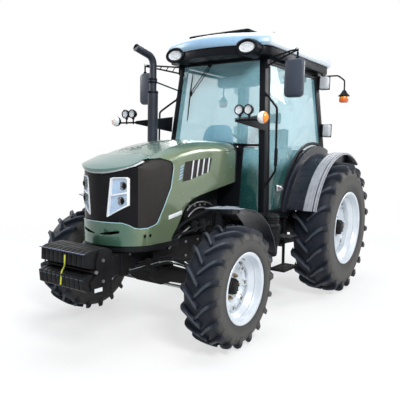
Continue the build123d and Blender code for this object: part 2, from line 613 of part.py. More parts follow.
with BuildPart() as front_glass:
    with BuildSketch(FRONT):
        low, high = SCREEN_SILL_Z - CAB_FLOOR_Z + 8, CAB_TOP_Z - CAB_FLOOR_Z - 26
        Polygon((-lean_x(low + CAB_FLOOR_Z) + PILLAR + 2, low),
                (lean_x(low + CAB_FLOOR_Z) - PILLAR - 2, low),
                (lean_x(high + CAB_FLOOR_Z) - PILLAR - 2, high),
                (-lean_x(high + CAB_FLOOR_Z) + PILLAR + 2, high), align=None)
        low, high = 10, SCREEN_SILL_Z - CAB_FLOOR_Z - 30
        Polygon((362, low), (lean_x(low + CAB_FLOOR_Z) - PILLAR - 2, low),
                (lean_x(high + CAB_FLOOR_Z) - PILLAR - 2, high), (362, high), align=None)
        Polygon((-362, low), (-lean_x(low + CAB_FLOOR_Z) + PILLAR + 2, low),
                (-lean_x(high + CAB_FLOOR_Z) + PILLAR + 2, high), (-362, high), align=None)
    extrude(amount=-PANE)
save(front_glass.part, "front_glass")

DOOR_T = 28
DOOR_BOTTOM = CAB_FLOOR_Z + 12
DOOR_TOP = CAB_TOP_Z - 27
DOOR_R = SHOULDER_R + 3 * GAP


def above_floor(z):
    """Height in the cab side's own drawing plane."""
    return z - CAB_FLOOR_Z


def door_outline():
    """The door's outline on the leaning side of the cab, drawn ahead and up."""
    centre_z = REAR_TYRE_R
    rear_low_d = rear_post_d(REAR_SILL_Z) + GAP
    rear_low_z = centre_z + sqrt(DOOR_R ** 2 - rear_low_d ** 2)
    front_low_d = sqrt(DOOR_R ** 2 - (DOOR_BOTTOM - centre_z) ** 2)
    middle = radians(55)
    Polyline((front_low_d, above_floor(DOOR_BOTTOM)),
             (front_d(DOOR_BOTTOM) - A_DEPTH - GAP, above_floor(DOOR_BOTTOM)),
             (front_d(DOOR_TOP) - A_DEPTH - GAP, above_floor(DOOR_TOP)),
             (rear_post_d(DOOR_TOP) + GAP, above_floor(DOOR_TOP)),
             (rear_post_d(rear_low_z) + GAP, above_floor(rear_low_z)))
    ThreePointArc((rear_post_d(rear_low_z) + GAP, above_floor(rear_low_z)),
                  (DOOR_R * cos(middle), above_floor(centre_z + DOOR_R * sin(middle))),
                  (front_low_d, above_floor(DOOR_BOTTOM)))


STILE = 34
with BuildPart() as door_frame:
    with BuildSketch(SIDE):
        with BuildLine():
            door_outline()
        make_face()
        offset(amount=-STILE, kind=Kind.INTERSECTION, mode=Mode.SUBTRACT)
    extrude(amount=DOOR_T)
both_sides(door_frame.part, "door_frame")

with BuildPart() as door_glass:
    with BuildSketch(SIDE.offset(10)):
        with BuildLine():
            door_outline()
        make_face()
        offset(amount=-STILE, kind=Kind.INTERSECTION, mode=Mode.REPLACE)
    extrude(amount=PANE)
both_sides(door_glass.part, "door_glass")

with BuildPart() as rear_window:
    with BuildSketch(REAR):
        high = CAB_TOP_Z - 38 - REAR_SILL_Z
        low_half = lean_x(REAR_SILL_Z) - PILLAR - GAP
        high_half = lean_x(CAB_TOP_Z) - PILLAR - GAP
        low = GAP + 2
        Polygon((-low_half, low), (low_half, low), (high_half, high), (-high_half, high), align=None)
    extrude(amount=-PANE)
save(rear_window.part, "rear_window")

with BuildPart() as rear_fender:
    centre_z = REAR_TYRE_R
    with BuildSketch(side_plane(FENDER_OUT)):
        with Locations((0, centre_z)):
            Circle(COVER_R)
            Circle(COVER_R - FENDER_WALL, mode=Mode.SUBTRACT)
        with Locations((0, centre_z + FENDER_FOOT + 20 - 1000)):
            Rectangle(3000, 2000, mode=Mode.SUBTRACT)
        with Locations((COVER_BACK - 1000, centre_z)):
            Rectangle(2000, 3000, mode=Mode.SUBTRACT)
    extrude(amount=FENDER_OUT - CAB_SILL_X + 12)
    with BuildSketch(side_plane(FENDER_OUT)):
        with Locations((0, centre_z)):
            Circle(COVER_R + LIP_RISE)
            Circle(COVER_R - FENDER_WALL, mode=Mode.SUBTRACT)
        with Locations((0, centre_z + FENDER_FOOT + 20 - 1000)):
            Rectangle(3000, 2000, mode=Mode.SUBTRACT)
        with Locations((COVER_BACK - 1000, centre_z)):
            Rectangle(2000, 3000, mode=Mode.SUBTRACT)
    extrude(amount=LIP)
    with BuildSketch(side_plane(CAB_SILL_X)):
        with Locations((0, centre_z)):
            Circle(SHOULDER_R)
            Circle(SHOULDER_R - FENDER_WALL, mode=Mode.SUBTRACT)
        with Locations((0, centre_z + FENDER_FOOT - 1000)):
            Rectangle(3000, 2000, mode=Mode.SUBTRACT)
        with Locations((CAB_REAR - 1000, centre_z)):
            Rectangle(2000, 3000, mode=Mode.SUBTRACT)
    extrude(amount=CAB_SILL_X - FENDER_IN)
    with BuildSketch(side_plane(CAB_SILL_X)):
        with Locations((0, centre_z)):
            Circle(SHOULDER_R)
            Circle(COVER_R - FENDER_WALL, mode=Mode.SUBTRACT)
        with Locations((0, centre_z + FENDER_FOOT - 1000)):
            Rectangle(3000, 2000, mode=Mode.SUBTRACT)
        with Locations((CAB_REAR - 1000, centre_z)):
            Rectangle(2000, 3000, mode=Mode.SUBTRACT)
    extrude(amount=FENDER_WALL)
    with BuildSketch(side_plane(FENDER_IN + FENDER_WALL)):
        with Locations((0, centre_z)):
            Circle(SHOULDER_R)
        with Locations((0, centre_z + FENDER_FOOT - 1000)):
            Rectangle(3000, 2000, mode=Mode.SUBTRACT)
        with Locations((CAB_REAR - 1000, centre_z)):
            Rectangle(2000, 3000, mode=Mode.SUBTRACT)
    extrude(amount=FENDER_WALL)
both_sides(rear_fender.part, "rear_fender")

# ---------------------------------------------------------------- roof
def roof_outline(inset):
    half = ROOF_HALF - inset
    front, back = ahead(ROOF_FRONT - inset), ahead(ROOF_BACK + inset)
    corner = ahead(ROOF_FRONT - 175 - inset)
    Polyline((half - 30, corner), (half, corner + 60), (half, back - 90), (half - 60, back),
             (60 - half, back), (-half, back - 90), (-half, corner + 60), (30 - half, corner))
    ThreePointArc((30 - half, corner), (0, front), (half - 30, corner))


with BuildPart() as pod:
    with BuildSketch(Plane(origin=(433, ahead(1250), 2640), x_dir=(1, 0, 0), z_dir=(0, -1, 0))):
        Ellipse(92, 62)
    extrude(amount=150)
lamp_pod = pod.part
lamp_pods = [lamp_pod, mirror(lamp_pod, about=Plane.YZ)]

with BuildPart() as roof_liner:
    with BuildSketch(Plane.XY.offset(CAB_TOP_Z)):
        with BuildLine():
            roof_outline(26)
        make_face()
    extrude(amount=ROOF_Z - CAB_TOP_Z)
    add(lamp_pods, mode=Mode.SUBTRACT)
save(roof_liner.part, "roof_liner")

EYE_X, EYE_D = 529, 1033     # lifting eyes on the roof's slopes
EYE_R = 18
EYE_RISE = 32
with BuildPart() as roof_shell:
    with BuildSketch(Plane.XY.offset(ROOF_Z)):
        with BuildLine():
            roof_outline(0)
        make_face()
    extrude(amount=0.6 * ROOF_DEPTH, taper=8)
    with BuildSketch(Plane.XY.offset(ROOF_Z + 0.6 * ROOF_DEPTH)):
        with BuildLine():
            roof_outline(60)
        make_face()
    extrude(amount=0.4 * ROOF_DEPTH, taper=50)
    with BuildSketch(Plane.XY.offset(ROOF_Z)):
        with BuildLine():
            roof_outline(50)
        make_face()
    extrude(amount=0.6 * ROOF_DEPTH - 20, mode=Mode.SUBTRACT)
    add(lamp_pods, mode=Mode.SUBTRACT)
    add(block(-330, 400, 350, 1330, ROOF_TOP_Z, ROOF_TOP_Z + 26))
    for side in (-1, 1):
        add(rod((side * EYE_X, ahead(EYE_D), ROOF_TOP_Z - 0.25 * ROOF_DEPTH), (0, 0, 1), EYE_R,
                0.25 * ROOF_DEPTH + EYE_RISE))
save(roof_shell.part, "roof_shell")

# ---------------------------------------------------------------- driver's place
SEAT_D = 130                # middle of the cushion ahead of the rear axle
PLATFORM_Z = 1240
CUSHION_Z = 1500
with BuildPart() as seat_base:
    add(block(-170, 170, SEAT_D - 170, SEAT_D + 170, PLATFORM_Z, CUSHION_Z - 100))
    add(block(-230, 230, SEAT_D - 215, SEAT_D + 215, CUSHION_Z - 100, CUSHION_Z - 82))
    add(block(-200, 200, SEAT_D - 235, SEAT_D - 215, CUSHION_Z - 100, CUSHION_Z + 420))
    for side in (-1, 1):
        add(block(side * 400 - 110, side * 400 + 110, -100, 480, PLATFORM_Z, 1500))
save(seat_base.part, "seat_base")

with BuildPart() as seat_cushion:
    add(block(-245, 245, SEAT_D - 210, SEAT_D + 240, CUSHION_Z - 82, CUSHION_Z + 28))
    fillet(seat_cushion.edges().filter_by(Axis.Z), 60)
    fillet(seat_cushion.faces().sort_by(Axis.Z)[-1].edges(), 25)
save(seat_cushion.part, "seat_cushion")

with BuildPart() as seat_back:
    with BuildSketch(Plane(origin=(0, ahead(SEAT_D - 214), 0), x_dir=(1, 0, 0), z_dir=(0, -1, 0))):
        with Locations((0, CUSHION_Z + 250)):
            RectangleRounded(460, 430, 70)
        with Locations((0, CUSHION_Z + 560)):
            RectangleRounded(270, 170, 55)
        with Locations((0, CUSHION_Z + 470)):
            Rectangle(120, 60)
    extrude(amount=90)
save(seat_back.part, "seat_back")

with BuildPart() as steering:
    add(block(-190, 190, 1150, 1270, CAB_FLOOR_Z, 1420))
    add(block(-230, 230, 1110, 1250, 1420, 1640))
    add(rod((0, ahead(1130), 1560), (0, 0.5, 0.87), 38, 180))
    wheel = Plane(origin=(0, ahead(1035), 1730), z_dir=(0, 0.5, 0.87))
    with BuildSketch(wheel):
        Circle(205)
        Circle(178, mode=Mode.SUBTRACT)
        Rectangle(364, 34)
        Rectangle(34, 364)
        Circle(50)
    extrude(amount=24)
    add(rod((0, ahead(1050), 1700), (0, 0.5, 0.87), 26, 50))
save(steering.part, "steering_column")

# ---------------------------------------------------------------- mirrors, lamps and rails
MIRROR_X, MIRROR_D = 911, 1344
with BuildPart() as mirror_unit:
    with BuildSketch(Plane(origin=(MIRROR_X, ahead(MIRROR_D), 2340), x_dir=(1, 0, 0),
                           z_dir=(0, -1, 0))):
        RectangleRounded(200, 385, 40)
    extrude(amount=34, both=True)
    chamfer(mirror_unit.faces().sort_by(Axis.Y)[0].edges(), 20)
    post_x = lean_x(2470)
    add(tube([(post_x, ahead(1185), 2558), (MIRROR_X + 30, ahead(MIRROR_D), 2598),
              (MIRROR_X + 30, ahead(MIRROR_D), 2510)], 20, 12))
    add(tube([(post_x, ahead(1185), 2492), (MIRROR_X + 26, ahead(MIRROR_D), 2590)], 20, 10))
    add(block(lean_x(2580) - 20, post_x + 14, 1140, 1205, 2470, 2578))
    add(cab_frame.part, mode=Mode.SUBTRACT)
save(Compound(children=[mirror_unit.part, mirror(mirror_unit.part, about=Plane.YZ)]), "mirrors")

BAR_D, BAR_Z = 1860, 1912
with BuildPart() as lamp_arm:
    add(slab([(front_d(1840) - 10, 1840), (front_d(2010) - 10, 2010), (BAR_D + 8, BAR_Z + 16),
              (BAR_D + 8, BAR_Z - 14)], 598, 606))
    add(tube([(598, ahead(BAR_D), BAR_Z), (890, ahead(BAR_D), BAR_Z)], 20, 9))
    for x in (645, 739):
        add(rod((x, ahead(BAR_D), BAR_Z), (0, 0, 1), 8, 50))
    add(cab_frame.part, mode=Mode.SUBTRACT)
with BuildPart() as rail_part:
    add(tube([(lean_x(2210) - 10, ahead(1212), 2215), (735, ahead(1318), 2062),
              (745, ahead(1318), 1460), (lean_x(1300) - 10, ahead(1290), 1290)], 40, 11))
    add(rod((745, ahead(1318), 1500), (0, 0, 1), 18, 170))
    add(cab_frame.part, mode=Mode.SUBTRACT)
save(Compound(children=[lamp_arm.part, mirror(lamp_arm.part, about=Plane.YZ)]), "lamp_arms")
save(Compound(children=[rail_part.part, mirror(rail_part.part, about=Plane.YZ)]), "grab_rails")

rear_door_space = block(400, 900, -110, 300, 1500, 2580)
with BuildPart() as lamps_left:
    for x in (645, 739):
        add(rod((x, ahead(BAR_D - 30), 2001), (0, -1, 0), 46, 62))
    add(rod((882, ahead(BAR_D - 72), BAR_Z + 18), (0, -1, 0), 56, 62))
    add(lamp_pod)
    add(block(lean_x(2420), lean_x(2420) + 110, -250, -150, 2420, 2540))
    add(block(lean_x(1850), lean_x(1850) + 90, -310, -210, 1850, 1970))
    add([cab_frame.part, lamp_arm.part, rear_door_space], mode=Mode.SUBTRACT)
save(Compound(children=[lamps_left.part, mirror(lamps_left.part, about=Plane.YZ)]), "lamps")

SIGNAL = (850, ahead(-200))
with BuildPart() as signal:
    x, y = SIGNAL
    add(tube([(560, y, 2600), (560, y, 2560), (770, y, 2556), (x, y, 2490), (x, y, 2370)], 24, 9))
    with BuildSketch(Plane.XY.offset(2310)):
        with Locations((x, y)):
            Circle(70)
    extrude(amount=70, taper=36)
    with BuildSketch(Plane.XY.offset(2232)):
        with Locations((x, y)):
            Circle(58)
    extrude(amount=78)
    add(roof_liner.part, mode=Mode.SUBTRACT)
save(Compound(children=[signal.part, mirror(signal.part, about=Plane.YZ)]), "rear_signals")

with BuildPart() as wiper:
    with BuildSketch(FRONT.offset(6)):
        with Locations((-125, 1535)):
            Circle(28)
        Polygon((-135, 1530), (-115, 1545), (-340, 1270), (-360, 1285), align=None)
        Polygon((-352, 1480), (-340, 1480), (-368, 960), (-380, 960), align=None)
    extrude(amount=14)
save(wiper.part, "wiper")

# ---------------------------------------------------------------- under the cab
CLEANER_X, CLEANER_D = 760, 1388
with BuildPart() as air_cleaner:
    with BuildSketch(Plane(origin=(CLEANER_X, ahead(CLEANER_D), 0), x_dir=(1, 0, 0),
                           z_dir=(0, -1, 0))):
        Polygon((0, 610), (66, 610), (72, 720), (84, 740), (92, 900), (92, 925), (78, 940),
                (80, 1010), (60, 1035), (0, 1040), align=None)
    revolve(axis=Axis((CLEANER_X, ahead(CLEANER_D), 0), (0, 0, 1)))
    add(block(560, CLEANER_X - 60, CLEANER_D - 30, CLEANER_D + 20, 780, 850))
    add(block(552, 580, 1240, CLEANER_D + 20, 760, CAB_FLOOR_Z - 60))
save(air_cleaner.part, "air_cleaner")

with BuildPart() as fuel_tank:
    add(block(270, 590, 640, 1230, 600, 930))
    fillet(fuel_tank.edges().filter_by(Axis.Y), 40)
save(fuel_tank.part, "fuel_tank")

with BuildPart() as battery_box:
    add(block(-590, -270, 640, 1230, 600, 930))
    fillet(battery_box.edges().filter_by(Axis.Y), 20)
save(battery_box.part, "battery_box")

with BuildPart() as steps:
    add(block(600, 790, REAR_TYRE_R + 2 * GAP, 1020, 722, 742))
    add(block(620, 800, 780, 1130, 398, 418))
    for d in (1110, 780):
        add(slab([(d, 398), (d - 30, 398), (d - 30 + 20, 935), (d + 20, 935)], 600, 622))
save(Compound(children=[steps.part, mirror(steps.part, about=Plane.YZ)]), "side_steps")

# ---------------------------------------------------------------- three-point linkage
ROD_X = 262                 # lift rods, outboard of the arms
ROD_EYE_R = 28
LINK_T = 22
PIVOT_Y = ahead(LINKAGE_D)
ROD_Y = PIVOT_Y + LIFT_ARM
LINK_LENGTH = REAR_REACH - 32 + LINKAGE_D

with BuildPart() as lift_arms:
    add(rod((-ROD_X + 22, PIVOT_Y, LIFT_Z), (1, 0, 0), SHAFT_R, 2 * ROD_X - 44))
    for side in (-1, 1):
        near, far = sorted((side * (ROD_X - 45), side * (ROD_X - 20)))
        add(slab([(LINKAGE_D + 46, LIFT_Z + 40), (LINKAGE_D + 46, LIFT_Z - 40),
                  (LINKAGE_D - LIFT_ARM - 28, LIFT_Z - 26),
                  (LINKAGE_D - LIFT_ARM - 28, LIFT_Z + 26)], near, far))
        add(rod((side * (ROD_X - 30), ROD_Y, LIFT_Z), (side, 0, 0), LINK_PIN_R, 48))
save(lift_arms.part, "lift_arms")


def link_x(distance):
    """Half spread of the lower links at this distance behind their front pins."""
    return LINK_X + (LINK_END_X - LINK_X) * distance / LINK_LENGTH


link_pieces = []
for side in (-1, 1):
    with BuildPart() as lower_link:
        with BuildSketch(Plane.XY.offset(LINK_Z - 32)):
            half = LINK_T / 2
            Polygon((side * (LINK_X - half), PIVOT_Y - 30), (side * (LINK_X + half), PIVOT_Y - 30),
                    (side * (LINK_X + half), PIVOT_Y + 30),
                    (side * (LINK_END_X + half), PIVOT_Y + LINK_LENGTH + 32),
                    (side * (LINK_END_X - half), PIVOT_Y + LINK_LENGTH + 32),
                    (side * (LINK_X - half), PIVOT_Y + 30), align=None)
        extrude(amount=64)
        add(rod((side * (LINK_END_X - 22), PIVOT_Y + LINK_LENGTH, LINK_Z), (side, 0, 0), 32, 44))
        add(rod((side * (ROD_X - 14), ROD_Y, LINK_Z), (side, 0, 0), LINK_PIN_R,
                link_x(LIFT_ARM) - ROD_X + 10))
        add(rod((side * (LINK_X - 30), PIVOT_Y, LINK_Z), (side, 0, 0), LINK_PIN_R + PIN_GAP, 60),
            mode=Mode.SUBTRACT)
        add(rod((side * (LINK_END_X - 30), PIVOT_Y + LINK_LENGTH, LINK_Z), (side, 0, 0), BALL_R, 60),
            mode=Mode.SUBTRACT)
    link_pieces.append(lower_link.part)
save(Compound(children=link_pieces), "lower_links")

with BuildPart() as lift_rod:
    add(rod((ROD_X, ROD_Y, LINK_Z), (0, 0, 1), 16, LIFT_Z - LINK_Z))
    for z in (LINK_Z, LIFT_Z):
        add(rod((ROD_X - 13, ROD_Y, z), (1, 0, 0), ROD_EYE_R, 26))
    add(rod((ROD_X, ROD_Y, LINK_Z + 180), (0, 0, 1), 24, 180))
    for z in (LINK_Z, LIFT_Z):
        add(rod((ROD_X - 20, ROD_Y, z), (1, 0, 0), LINK_PIN_R + PIN_GAP, 40), mode=Mode.SUBTRACT)
save(Compound(children=[lift_rod.part, mirror(lift_rod.part, about=Plane.YZ)]), "lift_rods")

DRAWBAR_Z = 400
with BuildPart() as drawbar:
    with BuildSketch(Plane.XY.offset(DRAWBAR_Z)):
        with Locations((0, ahead(-200))):
            Rectangle(76, 680)
        with Locations((0, ahead(-540))):
            Circle(38)
        with Locations((0, ahead(-540))):
            Circle(DRAWBAR_PIN_R, mode=Mode.SUBTRACT)
    extrude(amount=32)
    for d in (100, -140):
        add(slab([(d, DRAWBAR_Z - 18), (d, 545), (d + 40, 545), (d + 40, DRAWBAR_Z - 18)], -60, -40))
        add(slab([(d, DRAWBAR_Z - 18), (d, 545), (d + 40, 545), (d + 40, DRAWBAR_Z - 18)], 40, 60))
        add(block(-60, 60, d, d + 40, DRAWBAR_Z - 18, DRAWBAR_Z))
    add(driveline.part, mode=Mode.SUBTRACT)
save(drawbar.part, "drawbar")
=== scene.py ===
# Farm tractor: finishes, detailed pieces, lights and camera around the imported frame.
import json
from math import cos, pi, radians, sin, sqrt

import bpy
from mathutils import Matrix, Vector

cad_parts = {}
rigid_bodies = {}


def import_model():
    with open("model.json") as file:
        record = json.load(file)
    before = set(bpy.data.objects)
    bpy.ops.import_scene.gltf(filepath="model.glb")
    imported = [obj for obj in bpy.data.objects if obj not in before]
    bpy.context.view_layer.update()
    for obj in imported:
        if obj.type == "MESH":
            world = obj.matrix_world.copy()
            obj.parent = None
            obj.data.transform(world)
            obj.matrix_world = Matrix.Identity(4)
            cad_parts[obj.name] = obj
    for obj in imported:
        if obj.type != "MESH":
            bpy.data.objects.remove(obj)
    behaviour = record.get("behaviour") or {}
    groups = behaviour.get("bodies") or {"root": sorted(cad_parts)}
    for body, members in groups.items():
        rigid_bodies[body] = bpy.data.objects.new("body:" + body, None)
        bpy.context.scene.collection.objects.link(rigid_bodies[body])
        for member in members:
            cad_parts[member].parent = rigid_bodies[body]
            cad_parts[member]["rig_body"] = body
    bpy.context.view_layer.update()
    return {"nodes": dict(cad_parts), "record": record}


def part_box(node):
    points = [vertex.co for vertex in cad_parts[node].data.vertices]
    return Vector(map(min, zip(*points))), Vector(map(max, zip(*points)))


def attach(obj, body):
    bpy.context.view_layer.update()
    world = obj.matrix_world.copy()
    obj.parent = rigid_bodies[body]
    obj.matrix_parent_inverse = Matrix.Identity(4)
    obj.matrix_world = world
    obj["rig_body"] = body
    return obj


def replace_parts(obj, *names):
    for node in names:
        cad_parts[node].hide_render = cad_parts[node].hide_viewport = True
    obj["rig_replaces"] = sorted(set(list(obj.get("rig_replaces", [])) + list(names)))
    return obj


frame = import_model()
rearAxleY = sum(corner.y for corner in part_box("rear_tyre_left")) / 2
frontAxleY = sum(corner.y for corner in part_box("front_tyre_left")) / 2


def ahead(distance):
    # y of a place this far ahead of the rear axle, in metres
    return rearAxleY - distance


# Helpers that drive Blender's own tools, as by hand.
def clearSelection():
    if bpy.context.mode != "OBJECT":
        bpy.ops.object.mode_set(mode="OBJECT")
    bpy.ops.object.select_all(action="DESELECT")


def choose(piece):
    clearSelection()
    piece.select_set(True)
    bpy.context.view_layer.objects.active = piece
    return piece


def applyPlace(piece):
    choose(piece)
    bpy.ops.object.transform_apply(location=True, rotation=True, scale=True)
    return piece


def named(name):
    piece = bpy.context.active_object
    piece.name = name
    piece.data.name = name
    return piece


def startEditing(piece, mode="FACE"):
    choose(piece)
    bpy.ops.object.mode_set(mode="EDIT")
    bpy.ops.mesh.select_mode(type=mode)
    bpy.ops.mesh.select_all(action="DESELECT")


def stopEditing():
    bpy.ops.object.mode_set(mode="OBJECT")


def selectAll():
    bpy.ops.mesh.select_all(action="SELECT")


def faceOut():
    selectAll()
    bpy.ops.mesh.normals_make_consistent(inside=False)


def pickFaces(piece, test):
    # selects the faces whose centre and normal pass the test; called in edit mode
    bpy.ops.mesh.select_all(action="DESELECT")
    bpy.ops.object.mode_set(mode="OBJECT")
    for face in piece.data.polygons:
        face.select = test(face.center, face.normal)
    bpy.ops.object.mode_set(mode="EDIT")


def pickPoints(piece, numbers):
    bpy.ops.mesh.select_all(action="DESELECT")
    bpy.ops.object.mode_set(mode="OBJECT")
    for number in numbers:
        piece.data.vertices[number].select = True
    bpy.ops.object.mode_set(mode="EDIT")


def shape(piece, kind, **settings):
    # adds a modifier and applies it
    choose(piece)
    modifier = piece.modifiers.new(kind.title(), kind)
    for name, value in settings.items():
        setattr(modifier, name, value)
    bpy.ops.object.modifier_apply(modifier=modifier.name)
    return piece


def bevelled(piece, width, segments=2, angle=30):
    return shape(piece, "BEVEL", width=width, segments=segments, limit_method="ANGLE",
                 angle_limit=radians(angle), harden_normals=False)


def smoothed(piece, angle=35):
    choose(piece)
    bpy.ops.object.shade_smooth_by_angle(angle=radians(angle))
    return piece


def block(name, low, high, bevel=0.0, segments=2):
    clearSelection()
    centre = [(a + b) / 2 for a, b in zip(low, high)]
    bpy.ops.mesh.primitive_cube_add(size=1, location=centre)
    piece = named(name)
    piece.scale = [b - a for a, b in zip(low, high)]
    applyPlace(piece)
    if bevel:
        bevelled(piece, bevel, segments)
    return piece


def drum(name, start, end, radius, sides=32, endRadius=None, bevel=0.0):
    # a cylinder or cone from start to end
    clearSelection()
    start, end = Vector(start), Vector(end)
    axis = end - start
    turn = axis.to_track_quat("Z", "Y").to_euler()
    bpy.ops.mesh.primitive_cone_add(vertices=sides, radius1=radius,
                                    radius2=radius if endRadius is None else endRadius,
                                    depth=axis.length, location=(start + end) / 2, rotation=turn)
    piece = applyPlace(named(name))
    if bevel:
        bevelled(piece, bevel, 2)
    return piece


def chain(name, points, closed=False):
    # a line of edges: one vertex drawn out from point to point
    clearSelection()
    bpy.ops.mesh.primitive_plane_add(size=0.01, location=points[0])
    piece = applyPlace(named(name))
    startEditing(piece, "VERT")
    selectAll()
    bpy.ops.mesh.merge(type="CENTER")
    for here, there in zip(points, points[1:]):
        step = Vector(there) - Vector(here)
        bpy.ops.mesh.extrude_region_move(TRANSFORM_OT_translate={"value": step})
    if closed:
        selectAll()
        bpy.ops.mesh.edge_face_add()
    stopEditing()
    return piece


def plate(name, outline, thickness, bevel=0.0, segments=2):
    # a flat outline given its thickness as one vector
    piece = chain(name, outline, closed=True)
    startEditing(piece)
    selectAll()
    bpy.ops.mesh.extrude_region_move(TRANSFORM_OT_translate={"value": Vector(thickness)})
    faceOut()
    stopEditing()
    if bevel:
        bevelled(piece, bevel, segments)
    return piece


def loft(name, sections, caps=True):
    # a skin from one closed section to the next, each with the same number of points
    count = len(sections[0])
    rings = [chain(f"{name}{number}", section, closed=True) for number,
             section in enumerate(sections)]
    piece = joined(name, rings)
    startEditing(piece, "VERT")
    selectAll()
    bpy.ops.mesh.delete(type="ONLY_FACE")
    for first in range(0, count * (len(sections) - 1), count):
        pickPoints(piece, range(first, first + 2 * count))
        bpy.ops.mesh.bridge_edge_loops()
    if caps:
        for first in (0, count * (len(sections) - 1)):
            pickPoints(piece, range(first, first + count))
            bpy.ops.mesh.edge_face_add()
    faceOut()
    stopEditing()
    return piece


def turned(name, centre, axis, profile, steps=64):
    # a turned form: profile is (radius, place along the axis), drawn and then spun
    centre, axis = Vector(centre), Vector(axis).normalized()
    side = axis.orthogonal().normalized()
    piece = chain(name, [centre + side * radius + axis * along for radius, along in profile])
    startEditing(piece, "VERT")
    selectAll()
    bpy.ops.mesh.spin(steps=steps, angle=2 * pi, center=centre, axis=axis)
    selectAll()
    bpy.ops.mesh.remove_doubles(threshold=0.0002)
    bpy.ops.mesh.normals_make_consistent(inside=False)
    stopEditing()
    return piece


def tube(name, points, radius, sides=10, smooth=3):
    # a round bar along points, its bends rounded by a NURBS path
    clearSelection()
    bpy.ops.curve.primitive_nurbs_path_add()
    piece = named(name)
    line = piece.data
    line.splines.clear()
    spline = line.splines.new("NURBS")
    spline.points.add(len(points) - 1)
    for place, point in zip(spline.points, points):
        place.co = (*point, 1)
    spline.order_u = smooth
    spline.use_endpoint_u = True
    spline.resolution_u = 6
    line.dimensions = "3D"
    line.bevel_depth = radius
    line.bevel_resolution = max(1, sides // 4)
    line.use_fill_caps = True
    piece.location = (0, 0, 0)
    choose(piece)
    bpy.ops.object.convert(target="MESH")
    piece = applyPlace(named(name))
    return piece


def route(s, *places):
    # places (across, ahead, up) on the side s, 1 for the left and -1 for the right
    return [(s * x, ahead(d), z) for x, d, z in places]


def sideBlock(name, s, across, aheads, heights, bevel=0.0):
    near, far = sorted(s * x for x in across)
    return block(name, (near, ahead(aheads[0]), heights[0]), (far, ahead(aheads[1]), heights[1]),
                 bevel)


def sideDrum(name, s, across, d, z, radius, sides=6, bevel=0.0):
    start, end = route(s, (across[0], d, z), (across[1], d, z))
    return drum(name, start, end, radius, sides, bevel=bevel)


def joined(name, pieces):
    clearSelection()
    for piece in pieces:
        piece.select_set(True)
    bpy.context.view_layer.objects.active = pieces[0]
    if len(pieces) > 1:
        bpy.ops.object.join()
    return named(name)


def copied(piece, matrix=None):
    twin = piece.copy()
    twin.data = piece.data.copy()
    bpy.context.scene.collection.objects.link(twin)
    if matrix is not None:
        twin.data.transform(matrix)
        if matrix.determinant() < 0:
            twin.data.flip_normals()
    return twin


def aboutAxle(centre, turn):
    return Matrix.Translation(centre) @ Matrix.Rotation(turn, 4,
                                                        "X") @ Matrix.Translation(-Vector(centre))


def carved(piece, cutter, operation="DIFFERENCE", own=False):
    # a boolean whose cutter is thrown away; own is for thin skins that fold close to themselves
    choose(piece)
    modifier = piece.modifiers.new("Cut", "BOOLEAN")
    modifier.operation = operation
    modifier.solver = "EXACT"
    modifier.use_self = own
    modifier.object = cutter
    bpy.ops.object.modifier_apply(modifier=modifier.name)
    bpy.data.objects.remove(cutter)
    return piece


def dress(piece, finish, body, slotName, *nodes, angle=35):
    # the last step of every piece: finish, shading, what it rides on and what it stands for
    piece.data.materials.clear()
    piece.data.materials.append(finishes[finish])
    smoothed(piece, angle)
    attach(piece, body)
    if nodes:
        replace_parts(piece, *nodes)
    return piece


def otherSide(piece, name, body, *nodes):
    # the mirror image, for the tractor's right
    twin = copied(piece, Matrix.Scale(-1, 4, (1, 0, 0)))
    twin.name = name
    twin.data.name = name
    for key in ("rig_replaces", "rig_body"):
        if key in twin:
            del twin[key]
    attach(twin, body)
    if nodes:
        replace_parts(twin, *nodes)
    return twin


# Finishes. Each one is noise on Object coordinates over plain values.
def nodeMaker(name):
    material = bpy.data.materials.new(name)
    material.use_nodes = True
    nodes = material.node_tree.nodes
    nodes.clear()
    return material, nodes, material.node_tree.links


def noiseNode(nodes, links, coordinates, scale, detail=4.0, roughness=0.55, stretch=None):
    noise = nodes.new("ShaderNodeTexNoise")
    noise.inputs["Scale"].default_value = scale
    noise.inputs["Detail"].default_value = detail
    noise.inputs["Roughness"].default_value = roughness
    source = coordinates
    if stretch:
        mapping = nodes.new("ShaderNodeMapping")
        mapping.inputs["Scale"].default_value = stretch
        links.new(coordinates, mapping.inputs["Vector"])
        source = mapping.outputs["Vector"]
    links.new(source, noise.inputs["Vector"])
    return noise.outputs["Fac"]


def rampNode(nodes, links, value, stops):
    ramp = nodes.new("ShaderNodeValToRGB")
    while len(ramp.color_ramp.elements) < len(stops):
        ramp.color_ramp.elements.new(0.5)
    for element, (place, colour) in zip(ramp.color_ramp.elements, stops):
        element.position = place
        element.color = (*colour, 1)
    links.new(value, ramp.inputs["Fac"])
    return ramp.outputs["Color"]


def rangeNode(nodes, links, value, source=(0, 1), result=(0, 1), smooth=False):
    # carries value from the source range to the result range
    carry = nodes.new("ShaderNodeMapRange")
    if smooth:
        carry.interpolation_type = "SMOOTHSTEP"
    for name, number in zip(("From Min", "From Max", "To Min", "To Max"), (*source, *result)):
        carry.inputs[name].default_value = number
    links.new(value, carry.inputs["Value"])
    return carry.outputs["Result"]


def blendNode(nodes, links, share, under, over):
    # lays one colour over another; each is a socket or plain values
    blend = nodes.new("ShaderNodeMix")
    blend.data_type = "RGBA"
    links.new(share, blend.inputs["Factor"])
    for number, colour in ((6, under), (7, over)):
        if isinstance(colour, tuple):
            blend.inputs[number].default_value = (*colour, 1)
        else:
            links.new(colour, blend.inputs[number])
    return blend.outputs[2]


